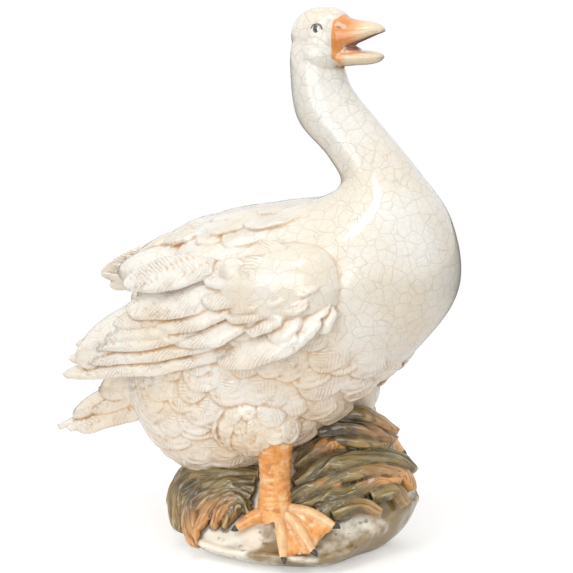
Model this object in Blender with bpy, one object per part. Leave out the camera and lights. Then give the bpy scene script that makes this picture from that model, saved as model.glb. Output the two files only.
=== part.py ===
"""A crackle-glazed pottery goose, calling, on a leafy rock: one casting with a flat underside."""
import math

import bmesh
import bpy
import numpy as np

# Sizes are in millimetres here and become metres where a mesh is made.
# +X is the way the goose faces, +Y its left side, +Z up. The origin is on the flat underside.
metre = 0.001

# Neck and head
neck_width = 39.0
neck_top = 352.0
head_x = 17.0
head_z = 372.0
head_length = 45.6
head_width = 33.0
head_height = 40.4
beak_reach = 35.8
beak_width = 24.4
beak_top = 14.5
eye_width = 8.0

# Body
body_width = 142.0
breast_x = 121.0
breast_z = 212.0
rump_x = -128.0
back_z = 247.0
belly_z = 48.0

# Feathers
wing_stand = 10.0
shoulder_x = 48.0
shoulder_z = 205.0
near_wing_turn = 0.0
far_wing_turn = 15.0
feather_roll = 0.22
tail_root_x = -92.0
tail_feather_width = 28.0
tail_feather_thickness = 11.0
scale_rows = 7
scale_feather_length = 38.0
scale_feather_width = 34.0
scale_feather_sink = 2.6
scale_feather_lift = 1.0
scale_thickness = 5.0
back_rows = 7
back_feather_length = 44.0
back_feather_width = 34.0
back_feather_thickness = 4.0
back_feather_lift = 1.3
rump_feather_width = 30.0
rump_feather_thickness = 7.0
thigh_feather_width = 22.0

# Legs and feet
leg_width = 24.4
thigh_length = 74.0
thigh_width = 48.0
thigh_height = 66.0
toe_width = 6.8
web_thickness = 4.5
claw_length = 5.0

# Rock and leaves
rock_length = 174.0
rock_width = 136.0
rock_turn = 25.0
rock_roundness = 1.9
rock_rim = 15.0
rock_foot = 0.72
rock_depth = 6.0
left_heap = 50.0
middle_heap = 44.0
right_heap = 82.0
foot_heap = 14.0
leaf_thickness = 6.5
drain_hole_diameter = 12.0
drain_hole_depth = 9.0
drain_hole_x = -34.0
floor_cut_depth = 60.0
floor_cut_reach = 200.0

# How finely each kind of form is divided
body_around = 64
body_steps = 80
blade_around = 16
blade_steps = 12
most_triangles = 11600
blend_size = 1.6


def unit(vector):
    """The vector at length one."""
    vector = np.asarray(vector, float)
    return vector / np.linalg.norm(vector)


def mix(first, last, share):
    """The point at a share of the way from the first to the last."""
    return np.asarray(first, float) * (1 - share) + np.asarray(last, float) * share


def smooth_rows(rows, count):
    """Rows read at even steps along a smooth curve through them."""
    rows = np.asarray(rows, float)
    places = np.linspace(0, len(rows) - 1, count)
    index = np.minimum(places.astype(int), len(rows) - 2)
    share = (places - index)[:, None]
    before = rows[np.maximum(index - 1, 0)]
    start = rows[index]
    end = rows[index + 1]
    after = rows[np.minimum(index + 2, len(rows) - 1)]
    leave = (end - before) / 2
    arrive = (after - start) / 2
    return (
        start * (2 * share**3 - 3 * share**2 + 1)
        + leave * (share**3 - 2 * share**2 + share)
        + end * (3 * share**2 - 2 * share**3)
        + arrive * (share**3 - share**2)
    )


# Making the solids

forms = bpy.data.collections.new("forms")


def closed_solid(name, rings):
    """A closed mesh through rings of points, each end drawn to the middle of its ring."""
    bm = bmesh.new()
    loops = []
    for ring in rings:
        loops.append([bm.verts.new(point * metre) for point in np.asarray(ring, float)])
    count = len(loops[0])
    for lower, upper in zip(loops, loops[1:]):
        for i in range(count):
            j = (i + 1) % count
            bm.faces.new((lower[i], lower[j], upper[j], upper[i]))
    for loop in (loops[0], loops[-1]):
        middle = bm.verts.new(np.mean([v.co for v in loop], axis=0))
        for i in range(count):
            bm.faces.new((loop[i], loop[(i + 1) % count], middle))
    bmesh.ops.recalc_face_normals(bm, faces=bm.faces)
    mesh = bpy.data.meshes.new(name)
    bm.to_mesh(mesh)
    bm.free()
    form = bpy.data.objects.new(name, mesh)
    form.hide_render = True
    form.display_type = "WIRE"
    forms.objects.link(form)
    return form


def squared(turns, power):
    """A circle squared by a power, so that its top is flat and its edge round."""
    across = np.sign(np.cos(turns)) * np.abs(np.cos(turns)) ** (2 / power)
    height = np.sign(np.sin(turns)) * np.abs(np.sin(turns)) ** (2 / power)
    return across, height


def tube(name, path, radii, side=(0, 1, 0), around=10):
    """A round bar along a path."""
    path = np.asarray(path, float)
    along = np.gradient(path, axis=0)
    turns = np.arange(around)[:, None] * 2 * math.pi / around
    rings = []
    for point, direction, radius in zip(path, along, radii):
        across = unit(np.asarray(side, float) - unit(direction) * np.dot(side, unit(direction)))
        up = np.cross(unit(direction), across)
        rings.append(point + radius * (np.cos(turns) * across + np.sin(turns) * up))
    return closed_solid(name, rings)


def blade(name, path, out, half_width, half_thickness, under=0.5, roll=0.0):
    """A flat-backed blade along a path. Its widths and thicknesses are functions of the way along."""
    shares = np.linspace(0.01, 0.99, blade_steps)
    centres = smooth_rows(path, blade_steps)
    along = np.gradient(centres, axis=0)
    across, height = squared(np.arange(blade_around) * 2 * math.pi / blade_around, 2.6)
    height = np.where(height > 0, height, under * height)
    rings = []
    for share, centre, direction in zip(shares, centres, along):
        ahead = unit(direction)
        outward = unit(np.asarray(out, float) - ahead * np.dot(out, ahead))
        side = np.cross(ahead, outward)
        turned_side = side * math.cos(roll) + outward * math.sin(roll)
        turned_out = outward * math.cos(roll) - side * math.sin(roll)
        ring = centre + (half_width(share) * across)[:, None] * turned_side
        rings.append(ring + (half_thickness(share) * height)[:, None] * turned_out)
    return closed_solid(name, rings)


def feather(name, path, width, thickness, out, roll=0.0, blunt=3.0, under=0.5):
    """A feather: it widens from its root and closes in a rounded tip."""

    def half_width(share):
        return width / 2 * min(1, 0.35 + 1.6 * share) * math.sqrt(1 - share**blunt)

    def half_thickness(share):
        return thickness / 2 * (1 - 0.45 * share**2)

    return blade(name, path, out, half_width, half_thickness, under, roll)


def small_feather(name, root, tip, out, width, thickness, bow, roll=0.0):
    """A small feather between two points, bowed outwards."""
    root = np.asarray(root, float)
    tip = np.asarray(tip, float)
    path = (root, (root + tip) / 2 + np.asarray(out) * bow, tip)
    return feather(name, path, width, thickness, out, roll, 3.5)


# Body, neck and head


def body_rows():
    """The ovals of the body, from the head down the neck to the rump.

    Each has a point on the back and one on the breast or belly (forward, up), and a half width.
    """
    neck = neck_width / 2
    wide = body_width / 2
    return (
        (head_x - neck * 0.88, head_z, head_x + neck * 0.7, head_z, neck * 0.75),
        (head_x - neck, neck_top, head_x + neck, neck_top - 4, neck * 0.92),
        (head_x - neck * 0.7, neck_top - 38, head_x + neck * 1.35, neck_top - 18, neck),
        (27, 289, 66, 309, neck * 1.1),
        (37, 270, breast_x - 30, 281, neck * 1.4),
        (14, back_z + 10, breast_x - 6, 246, wide * 0.66),
        (-22, back_z + 3, breast_x, breast_z - 12, wide * 0.88),
        (-56, back_z - 5, breast_x - 26, breast_z - 54, wide),
        (-90, back_z - 22, 45, 110, wide),
        (-112, back_z - 48, -5, belly_z + 22, wide * 0.93),
        (rump_x + 6, 172, -52, belly_z, wide * 0.78),
        (rump_x, 142, -90, belly_z + 6, wide * 0.55),
        (rump_x - 2, 118, -116, belly_z + 32, wide * 0.25),
    )


def body_point(place, turn, lift=0.0):
    """A point on the body: place runs from 0 at the head to 1 at the rump.

    Turn is 0 at the breast and belly, a half circle at the back, and negative on the near side.
    """
    rows = smooth_rows(body_rows(), 200)
    row = rows[int(round(place * 199))]
    back = np.array((row[0], 0, row[1]))
    front = np.array((row[2], 0, row[3]))
    middle = (back + front) / 2
    reach = (front - back) / 2 + unit(front - back) * lift
    side = np.array((0, row[4] + lift, 0))
    return middle + reach * math.cos(turn) + side * math.sin(turn)


def body_out(place, turn):
    """The direction straight out of the body at a point."""
    small = 0.01
    along = body_point(min(1, place + small), turn) - body_point(max(0, place - small), turn)
    around = body_point(place, turn + small) - body_point(place, turn - small)
    return unit(np.cross(along, around))


def make_body():
    rings = []
    turns = np.arange(body_around) * 2 * math.pi / body_around
    for row in smooth_rows(body_rows(), body_steps):
        back = np.array((row[0], 0, row[1]))
        front = np.array((row[2], 0, row[3]))
        ring = (back + front) / 2 + np.cos(turns)[:, None] * (front - back) / 2
        rings.append(ring + np.sin(turns)[:, None] * np.array((0, row[4], 0)))
    return closed_solid("body", rings)


def ball(name, centre, radii, tilt=0.0, steps=9, around=14, power=2.0):
    """An egg-shaped lump, squared by the power and tilted in the side view."""
    rings = []
    lean = math.radians(tilt)
    across, height = squared(np.arange(around) * 2 * math.pi / around, power)
    for share in np.linspace(0.04, 0.96, steps):
        ahead, girth = squared(share * math.pi, power)
        x = np.full(around, -ahead * radii[0])
        y = girth * radii[1] * across
        z = girth * radii[2] * height
        forward = x * math.cos(lean) - z * math.sin(lean)
        rise = x * math.sin(lean) + z * math.cos(lean)
        rings.append(np.stack((forward, y, rise), 1) + np.asarray(centre, float))
    return closed_solid(name, rings)


def make_head():
    """A domed skull and brow, a cheek and an eye on each side."""
    skull = (head_length / 2, head_width / 2, head_height / 2)
    ball("skull", (head_x + 3.6, 0, head_z - 0.8), skull, -6, 17, 32)
    brow = (head_length * 0.338, head_width * 0.388, head_height * 0.396)
    ball("brow", (head_x + 10.2, 0, head_z + 3.4), brow, -6, 13, 24)
    for side in (-1, 1):
        cheek = (head_length * 0.362, head_width * 0.373, head_height * 0.433)
        ball(f"cheek_{side}", (head_x + 3, side * head_width * 0.176, head_z - 12), cheek, -8)
        eye = (head_x + 5.6, side * head_width * 0.421, head_z + 5.8)
        ball(f"eye_{side}", eye, (eye_width / 2, eye_width * 0.31, eye_width * 0.39), -8, 7, 10)


def make_beak():
    """The open beak: a deep-rooted upper half, a lower half and the flesh between them.

    Each ring has how far forward it is, its middle height and its half height and half width, as shares.
    """
    start = head_x + 13
    upper = (
        (0, head_z + 2.5, 1.0, 0.98), (0.14, head_z + 2, 0.97, 1.0), (0.335, head_z + 2.4, 0.683, 0.95),
        (0.56, head_z + 3.6, 0.51, 0.87), (0.755, head_z + 4.8, 0.393, 0.75),
        (0.895, head_z + 5.3, 0.255, 0.59),
        (1.0, head_z + 4.9, 0.117, 0.33),
    )
    lower = (
        (0, head_z - 15.5, 0.43, 0.9), (0.22, head_z - 15, 0.37, 0.9), (0.5, head_z - 14.5, 0.33, 0.84),
        (0.73, head_z - 14.2, 0.3, 0.74), (0.89, head_z - 13.8, 0.22, 0.56), (0.98, head_z - 13.2, 0.1, 0.31),
    )
    around = 20
    turns = np.arange(around) * 2 * math.pi / around
    for name, rows, inside in (("upper_beak", upper, -1), ("lower_beak", lower, 1)):
        height = np.sin(turns)
        flat = 0.85 * np.sign(height) * np.sqrt(np.abs(height))
        height = np.where(height * inside > 0, flat, height)
        rings = []
        for forward, z, tall, wide in smooth_rows(rows, 12):
            x = np.full(around, start + forward * beak_reach)
            y = wide * beak_width / 2 * np.cos(turns)
            rings.append(np.stack((x, y, z + tall * beak_top * height), 1))
        closed_solid(name, rings)
    flesh = (beak_reach * 0.265, beak_width * 0.369, beak_top * 0.317)
    ball("mouth", (start + beak_reach * 0.293, 0, head_z - 10.5), flesh, 0, 11, 16)


# Wings and tail

# The rows of wing feathers: width, thickness, roundness of tip, share of the far wing's turn, feathers.
# Each feather is a root, a middle and a tip: forward, inset from the wing's outer face, and up.
wing_rows = {
    "flight": (24.0, 7.0, 2.0, 1.0, (
        ((-18, 11, 158), (-94, 20, 140), (-171, 40, 118)), ((-19, 9, 168), (-88, 18, 151), (-165, 39, 131)),
        ((-27, 9, 176), (-92, 18, 160), (-157, 37, 143)), ((-33, 12, 185), (-84, 17, 168), (-137, 31, 153)),
        ((-38, 13, 194), (-76, 17, 180), (-119, 27, 164)),
        ((-38, 14, 203), (-71, 17, 191), (-107, 25, 178)))),
    "middle": (23.0, 7.0, 3.4, 0.5, (
        ((1, 6, 183), (-31, 7, 171), (-63, 13, 163)), ((-10, 6, 193), (-43, 8, 181), (-77, 15, 172)),
        ((-23, 8, 203), (-56, 11, 190), (-91, 19, 180)))),
    "upper": (29.0, 6.5, 2.6, 0.2, (
        ((-24, 9, 199), (-62, 12, 189), (-106, 23, 178)), ((-28, 11, 217), (-66, 14, 209), (-109, 25, 196)))),
    "lower": (24.0, 8.0, 3.6, 0.0, (
        ((46, 8, 181), (20, 6, 168), (-6, 9, 160)), ((38, 5, 176), (7, 5, 163), (-26, 10, 151)))),
    "covert": (24.0, 6.4, 3.6, 0.0, (
        ((2, 10, 220), (-15, 8, 215), (-36, 9, 209)), ((8, 8, 209), (-13, 6, 202), (-36, 6, 195)),
        ((22, 8, 203), (4, 5, 195), (-17, 4, 185)), ((28, 8, 199), (14, 5, 188), (-2, 4, 177)),
        ((38, 8, 197), (28, 5, 185), (16, 4, 173)), ((44, 9, 198), (41, 6, 186), (34, 5, 172)),
        ((49, 12, 200), (51, 9, 189), (49, 8, 178)))),
    "mantle": (27.0, 4.4, 3.6, 0.0, (
        ((44, 11, 228), (27, 8, 222), (8, 6, 213)), ((50, 9, 216), (36, 6, 208), (20, 4, 198)),
        ((56, 12, 208), (48, 9, 199), (38, 6, 189)), ((26, 13, 231), (8, 10, 226), (-14, 9, 218)))),
}


# The two broad feathers at the raised tip of the far wing: width, thickness and path
raised_tip = (
    ("raised_tip_1", 30.0, 8.0, ((-80, 60, 214), (-134, 55, 197), (-190, 47, 176))),
    ("raised_tip_2", 26.0, 7.0, ((-80, 58, 204), (-130, 53, 184), (-181, 45, 168))),
)


def make_wing(side, turn):
    """A folded wing: a swollen shoulder with rows of feathers that lap over each other like shingles."""
    label = "near" if side < 0 else "far"
    wing_half_width = body_width / 2 + wing_stand

    def placed(point, raised):
        angle = math.radians(turn * raised)
        forward = point[0] - shoulder_x
        rise = point[2] - shoulder_z
        x = shoulder_x + forward * math.cos(angle) + rise * math.sin(angle)
        z = shoulder_z - forward * math.sin(angle) + rise * math.cos(angle)
        return np.array((x, side * (wing_half_width - point[1]), z))

    for row, (width, thickness, blunt, raised, feathers) in wing_rows.items():
        for i, (root, middle, tip) in enumerate(feathers):
            lifted = raised * (1 - 0.05 * i)
            path = (placed(root, 0), placed(middle, lifted / 2), placed(tip, lifted))
            name = f"{label}_{row}_{i}"
            feather(name, path, width, thickness, (0.12, side, 0.35), side * feather_roll, blunt)
    ball(f"{label}_shoulder", placed((14, 33, 205), 0), (48, 34, 27), 12, 17, 28, 2.7)
    ball(f"{label}_wing_pad", placed((-34, 35, 196), 0), (66, 25, 34), 20, 15, 24)
    ball(f"{label}_wing_end", placed((-84, 39, 164), 0.6), (76, 19, 25), 22, 15, 20)
    ball(f"{label}_wing_tip", placed((-120, 31, 148), 0.95), (38, 5, 16), 24, 13, 14)
    if side > 0:
        for name, width, thickness, path in raised_tip:
            feather(name, path, width, thickness, (0.12, 1, 0.35), 0.0, 2.2)


# The layers of the tail: number of feathers, root height, tip place and height, and half the spread
tail_layers = (
    (5, 106.0, -204.0, 61.0, 18.0),
    (4, 118.0, -197.0, 79.0, 16.0),
    (3, 130.0, -178.0, 98.0, 12.0),
)


def make_tail():
    """Three layers of pointed feathers behind the rump, the longest lowest."""
    for count, root_z, tip_x, tip_z, spread in tail_layers:
        for i in range(count):
            share = 2 * i / (count - 1) - 1
            outer = abs(share)
            root = np.array((tail_root_x, share * spread, root_z - 4 * outer))
            tip = np.array((tip_x + 26 * outer, share * spread, tip_z + 2 * outer))
            path = (root, (root + tip) / 2 + (0, 0, 4), tip)
            out = (-0.35, share * 0.9, 1)
            name = f"tail_{count}_{i}"
            feather(name, path, tail_feather_width, tail_feather_thickness, out, -0.3 * share, 1.6)
    ball("tail_root", (rump_x + 4, 0, 110), (42, 26, 25), 22, 13, 20)


def make_small_feathers():
    """Curly scale feathers on the flanks, soft ones on the back and long ones over the rump."""
    chance = np.random.default_rng(7)
    for side in (-1, 1):
        for line in range(scale_rows):
            for i in range(7):
                turn = side * (0.20 + 0.27 * (i + 0.5 * (line % 2)) + chance.uniform(-0.04, 0.04))
                place = 0.60 + 0.05 * line + chance.uniform(-0.008, 0.008)
                root = body_point(place, turn, -scale_feather_sink)
                out = body_out(place, turn)
                drift = chance.uniform(-0.11, 0.11)
                along = unit(body_point(place + 0.06, turn + drift) - body_point(place, turn))
                length = scale_feather_length * chance.uniform(0.78, 1.12)
                chance.uniform()
                end = body_point(place + 0.05, turn + drift, scale_feather_lift) - root
                tip = root + along * length + out * np.dot(end - along * np.dot(end, along), out)
                name = f"flank_{side}_{line}_{i}"
                small_feather(name, root, tip, out, scale_feather_width, scale_thickness, 1.4, 0.08 * side)
    for line, (start, end) in enumerate(((-20, -66), (-50, -97), (-80, -127))):
        for y in (-39, -13, 13, 39) if line % 2 == 0 else (-26, 0, 26):
            path = []
            for x, lift in ((start, -3), ((start + end) / 2, 1), (end + 0.2 * abs(y), 1.5)):
                path.append((x, y, back_z + lift - 0.0031 * (x + 10) ** 2 - 0.007 * y * y))
            out = (-0.3, y * 0.012, 1)
            feather(f"rump_{line}_{y}", path, rump_feather_width, rump_feather_thickness, out, 0.0, 2.6, 1.6)
    for line in range(back_rows):
        place = 0.42 + 0.07 * line
        for i in range(5):
            turn = math.pi + 0.30 * (i - 2 + 0.5 * (line % 2)) + chance.uniform(-0.04, 0.04)
            step = np.linalg.norm(body_point(place + 0.07, turn) - body_point(place, turn))
            reach = 0.07 * back_feather_length * chance.uniform(0.8, 1.05) / step
            path = []
            for share, lift in ((0, -3), (0.5, 0), (1, back_feather_lift)):
                path.append(body_point(place + reach * share, turn, lift))
            out = body_out(place, turn)
            feather(f"back_{line}_{i}", path, back_feather_width, back_feather_thickness, out, 0.0, 3.4, 2.6)


def make_thigh(label, centre, top, side):
    """The swell of a thigh with rows of small feathers, down to the fringe above the shank."""
    centre = np.array(centre, float)
    top = np.array(top, float)
    radii = np.array((thigh_length, thigh_width, thigh_height)) / 2
    ball(f"{label}_thigh", centre, radii, -18, 13, 22)
    ball(f"{label}_leg_top", top + (-2, side, 5), (leg_width * 0.74, leg_width * 0.68, 14), 0, 9, 18)
    for line, low in enumerate((20, 0, -20, -38, -54)):
        drop = math.radians(low)
        for i in range(5):
            turn = math.radians(-44 + 24 * (i + 0.5 * (line % 2)))
            level = math.cos(drop)
            out = np.array((-math.sin(turn) * level, side * math.cos(turn) * level, math.sin(drop)))
            root = centre + radii * out * 0.94
            ahead = np.array((-math.sin(turn + 0.2), side * math.cos(turn + 0.2), 0)) * math.cos(drop - 0.5)
            tip = centre + radii * (ahead + (0, 0, math.sin(drop - 0.55))) + out
            name = f"{label}_thigh_feather_{line}_{i}"
            small_feather(name, root, tip, out, thigh_feather_width, scale_thickness, 2.2, 0.05 * side)
    for i in range(8):
        turn = (i + 0.5) * math.pi / 4
        out = np.array((math.cos(turn), math.sin(turn), 0.0))
        root = top + out * leg_width * 0.53 + (0, 0, 10)
        tip = top + out * leg_width * 0.61 + (0, 0, -8)
        small_feather(f"{label}_fringe_{i}", root, tip, out + (0, 0, -0.3), 17, 6, 2)


# Rock, leaves and legs


def rock_outline(turn):
    """How far the rock's edge is from its middle in a direction, as a share of its oval."""
    waves = 0.03 * math.sin(3 * turn + 0.6) + 0.025 * math.sin(5 * turn + 2.0) + 0.015 * math.sin(9 * turn)
    corners = abs(math.cos(turn)) ** rock_roundness + abs(math.sin(turn)) ** rock_roundness
    return (1 + waves) / corners ** (1 / rock_roundness)


def hill(x, y, centre_x, centre_y, reach_x, reach_y, height):
    return height * math.exp(-(((x - centre_x) / reach_x) ** 2) - ((y - centre_y) / reach_y) ** 2)


def rock_top(x, y):
    """The height of the rock and of the leaves heaped on it."""
    rim = rock_rim + 2 * math.sin(x / 13 + 1) * math.cos(y / 11)
    left = hill(x, y, -46, -8, 48, 36, left_heap)
    middle = hill(x, y, 14, 4, 26, 32, middle_heap)
    right = hill(x, y, 50, 26, 34, 36, right_heap)
    foot = hill(x, y, 4, -38, 18, 16, foot_heap)
    return rim + left + middle + right + foot


def make_rock():
    """A low boulder: its foot is smaller than its rim, and its top rises into the heaps."""
    turns = np.arange(48) * 2 * math.pi / 48
    oval = np.array([rock_outline(t) for t in turns])[:, None]
    plan = oval * np.stack((rock_length / 2 * np.cos(turns), rock_width / 2 * np.sin(turns)), 1)
    lean = math.radians(rock_turn)
    plan = plan @ np.array(((math.cos(lean), math.sin(lean)), (-math.sin(lean), math.cos(lean))))
    level = np.ones((len(plan), 1))
    edge = np.array([[rock_top(*p)] for p in plan])
    rings = [
        np.hstack((plan * rock_foot * 0.6, -rock_depth * level)),
        np.hstack((plan * rock_foot, -rock_depth * level)),
        np.hstack((plan * rock_foot, 0 * level)),
        np.hstack((plan * mix(rock_foot, 1, 0.6), edge * 0.24)),
        np.hstack((plan, edge * 0.66)),
        np.hstack((plan * 0.985, edge * 0.82)),
    ]
    for share in (0.93, 0.84, 0.74, 0.64, 0.52, 0.4, 0.26, 0.12):
        ring = plan * share
        soft = math.sqrt(1 - (max(0.0, share - 0.5) / 0.72) ** 2)
        rings.append(np.hstack((ring, [[rock_top(*p) * soft] for p in ring])))
    return closed_solid("rock", rings)


# The middle lines of the leaves on the side that shows, each with its width
leaves = (
    (((29, 4, 97), (47, 10, 101), (60, 15, 95), (69, 26, 84)), 20),
    (((19, -3, 86), (38, 4, 92), (56, 8, 90), (71, 20, 80)), 20),
    (((12, -11, 73), (33, -2, 83), (53, 4, 83), (68, 13, 77)), 18),
    (((10, -18, 63), (18, -12, 74), (30, -6, 81), (43, -4, 80)), 14),
    (((11, -24, 52), (29, -11, 67), (52, 0, 73), (74, 14, 70), (83, 27, 56)), 22),
    (((19, -26, 48), (40, -10, 61), (63, 1, 66), (79, 14, 59), (86, 15, 46)), 24),
    (((40, -23, 39), (55, -11, 51), (68, -2, 58), (81, 8, 56)), 17),
    (((11, -34, 42), (21, -24, 51), (32, -18, 56), (45, -16, 54)), 16),
    (((17, -34, 37), (30, -24, 45), (47, -17, 49), (62, -9, 53)), 15),
    (((29, -32, 32), (39, -25, 40), (48, -20, 44)), 12),
    (((41, -27, 35), (57, -18, 42), (74, -13, 37)), 17),
    (((64, -9, 46), (77, 1, 50), (86, 3, 39)), 18),
    (((-20, -19, 54), (-44, -25, 56), (-66, -22, 52), (-80, -20, 42)), 24),
    (((-20, -25, 49), (-42, -31, 50), (-62, -32, 43), (-77, -36, 32)), 20),
    (((-18, -30, 44), (-38, -34, 46), (-55, -41, 38), (-65, -52, 26)), 17),
    (((-19, -34, 40), (-34, -36, 43), (-46, -47, 33), (-50, -60, 19)), 16),
    (((-18, -39, 35), (-28, -38, 40), (-36, -46, 34), (-39, -57, 22)), 13),
    (((-16, -42, 31), (-23, -41, 36), (-29, -46, 31), (-31, -55, 22)), 12),
    (((-66, -6, 58), (-80, -12, 48), (-88, -20, 34), (-84, -36, 24)), 20),
    (((-33, -32, 47), (-43, -37, 43), (-52, -45, 34), (-60, -53, 22)), 14),
    (((-72, -20, 47), (-78, -32, 37), (-75, -44, 26), (-66, -55, 15)), 20),
    (((-58, -34, 42), (-62, -46, 32), (-56, -58, 20), (-47, -67, 10)), 17),
)

# Where the leaves of the hidden side end on the rim, each with its width
far_leaves = (
    (50, 64, 24),
    (26, 66, 26),
    (0, 62, 24),
    (-30, 58, 24),
    (-58, 44, 26),
    (-80, 22, 26),
    (-88, 2, 24),
)


def leaf(name, path, width):
    """A thick folded leaf that lies on the heap."""
    path = np.asarray(path, float)
    middle = path[len(path) // 2]

    def half_width(share):
        return width / 2 * min(1, 0.45 + 1.5 * share) * math.sqrt(1 - share**3)

    def half_thickness(share):
        return leaf_thickness * (1 - 0.35 * share)

    return blade(name, path, (middle[0] * 0.3 + 5, middle[1], 45.0), half_width, half_thickness, 1.0)


def make_leaves():
    """The leaves that flow over the heaps, and plainer ones on the hidden side."""
    for i, (path, width) in enumerate(leaves):
        leaf(f"leaf_{i}", path, width)
    for i, (x, y, width) in enumerate(far_leaves):
        path = []
        for share, lift in ((0.3, 4), (0.55, 6), (0.8, 5), (1.0, 0)):
            place = mix((16, 8), (x, y), share)
            path.append((*place, rock_top(*place) + lift))
        leaf(f"far_leaf_{i}", path, width)


# Each leg: its ankle, the top of its shank, the tips of its toes and hind toe, and the middle of its thigh
legs = {
    "near": (
        (4, -43, 40), (2, -39, 98), ((22, -67, 12), (40, -57, 16), (49, -41, 31)),
        (-19, -57, 26), (-16, -36, 110),
    ),
    "far": (
        (36, 38, 90), (34, 36, 124), ((38, 68, 50), (54, 63, 54), (64, 50, 62)),
        (20, 48, 76), (16, 32, 118),
    ),
}


def make_leg(label):
    """A thick leg from the thigh to the rock, with three webbed toes and one behind."""
    ankle, top, tips, spur, thigh = legs[label]
    ankle = np.array(ankle, float)
    top = np.array(top, float)
    spur = np.array(spur, float)
    side = math.copysign(1, ankle[1])
    drop = top - ankle
    half = leg_width / 2
    sole = ankle + (4, 0.05 * ankle[1], -9)
    path = (top, top - drop * 0.12, top - drop * 0.35, ankle + drop * 0.3, ankle, sole)
    radii = half * np.array((1.07, 1.13, 1.0, 0.93, 1.02, 0.9))
    rows = smooth_rows(np.hstack((path, radii[:, None])), 14)
    tube(f"{label}_leg", rows[:, :3], rows[:, 3], (0, 1, 0), 20)
    make_thigh(label, thigh, top, side)
    toes = []
    for toe, tip in enumerate(tips):
        points = []
        for share in np.linspace(0, 1, 7):
            rise = 5 * math.sin(share * math.pi) + 1.2
            points.append(mix(ankle + (1, 0, -2), tip, share) + (0, 0, rise))
        points = np.array(points)
        toes.append(points)
        radii = toe_width / 2 * np.array((1.3, 1.15, 1.05, 1.1, 1.1, 1.0, 0.8))
        tube(f"{label}_toe_{toe}", points, radii, (0, 0, 1), 8)
        ahead = unit(tip - ankle)
        end = points[-1] + ahead * claw_length
        claw = (points[-1] - ahead * 2, mix(points[-1], end, 0.5) + (0, 0, 0.8), end)
        tube(f"{label}_claw_{toe}", claw, (3.0, 2.4, 0.7), (0, 0, 1), 8)
    for web, (first, last) in enumerate(zip(toes, toes[1:])):
        rings = []
        for share in np.linspace(0, 1, 7):
            line = mix(first, last, share) + np.array((0, 0, 1.8 - 0.9 * math.sin(share * math.pi)))
            line[-1] = mix(line[-1], line[-2], 0.4 * math.sin(share * math.pi))
            under = line[::-1] - np.array((0, 0, web_thickness))
            rings.append(np.vstack((line, under)))
        closed_solid(f"{label}_web_{web}", rings)
    heel = ankle + (-4, side * 3, -4)
    tube(f"{label}_hind_toe", (heel, mix(heel, spur, 0.5) + (0, 0, 2), spur), (6.5, 5.0, 3.2), (0, 0, 1), 10)
    end = spur + unit(spur - heel) * claw_length
    tube(f"{label}_hind_claw", (spur, mix(spur, end, 0.5), end), (2.8, 2.2, 0.6), (0, 0, 1), 8)


# The casting


def make_material(name, colour, roughness):
    material = bpy.data.materials.new(name)
    material.use_nodes = True
    shader = material.node_tree.nodes["Principled BSDF"]
    shader.inputs["Base Color"].default_value = (*colour, 1)
    shader.inputs["Roughness"].default_value = roughness
    shader.inputs["Metallic"].default_value = 0
    return material


def make_cutter(name, low_z, high_z, radius, centre, around):
    """An upright prism that is cut away."""
    turns = np.arange(around) * 2 * math.pi / around + math.pi / around
    plan = radius * np.stack((np.cos(turns), np.sin(turns)), 1) + np.asarray(centre, float)
    rings = [np.hstack((plan, np.full((around, 1), float(z)))) for z in (low_z, high_z)]
    cutter = closed_solid(name, rings)
    forms.objects.unlink(cutter)
    bpy.context.scene.collection.objects.link(cutter)
    return cutter


def join(target, operation, source):
    modifier = target.modifiers.new(operation.lower(), "BOOLEAN")
    modifier.operation = operation
    modifier.solver = "MANIFOLD" if operation == "UNION" else "EXACT"
    if isinstance(source, bpy.types.Collection):
        modifier.operand_type = "COLLECTION"
        modifier.collection = source
    else:
        modifier.object = source


def counted_triangles(form):
    """How many triangles the casting has before it is thinned out."""
    bpy.context.view_layer.update()
    shape = form.evaluated_get(bpy.context.evaluated_depsgraph_get()).to_mesh()
    shape.calc_loop_triangles()
    return len(shape.loop_triangles)


def main():
    for item in list(bpy.data.objects):
        bpy.data.objects.remove(item)
    bpy.context.scene.collection.children.link(forms)
    body = make_body()
    make_head()
    make_beak()
    make_wing(-1, near_wing_turn)
    make_wing(1, far_wing_turn)
    make_tail()
    make_small_feathers()
    make_rock()
    make_leaves()
    make_leg("near")
    make_leg("far")
    forms.objects.unlink(body)
    bpy.context.scene.collection.objects.link(body)
    body.name = "goose_figurine"
    body.hide_render = False
    body.display_type = "TEXTURED"
    join(body, "UNION", forms)
    blend = body.modifiers.new("blend", "REMESH")
    blend.mode = "VOXEL"
    blend.voxel_size = blend_size * metre
    fewer = body.modifiers.new("fewer", "DECIMATE")
    fewer.ratio = min(1.0, most_triangles / counted_triangles(body))
    below = make_cutter("below", -floor_cut_depth, 0, floor_cut_reach, (0, 0), 24)
    join(body, "DIFFERENCE", below)
    radius = drain_hole_diameter / 2
    hole = make_cutter("drain_hole", -drain_hole_depth, drain_hole_depth, radius, (drain_hole_x, 0), 20)
    join(body, "DIFFERENCE", hole)
    body.data.materials.append(make_material("crackle_glaze", (0.87, 0.82, 0.74), 0.18))
    body.data.shade_smooth()
    body.data.set_sharp_from_angle(angle=math.radians(50))


main()
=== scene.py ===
import math
from functools import partial

import bpy
import numpy as np
from mathutils import Matrix, Vector


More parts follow.
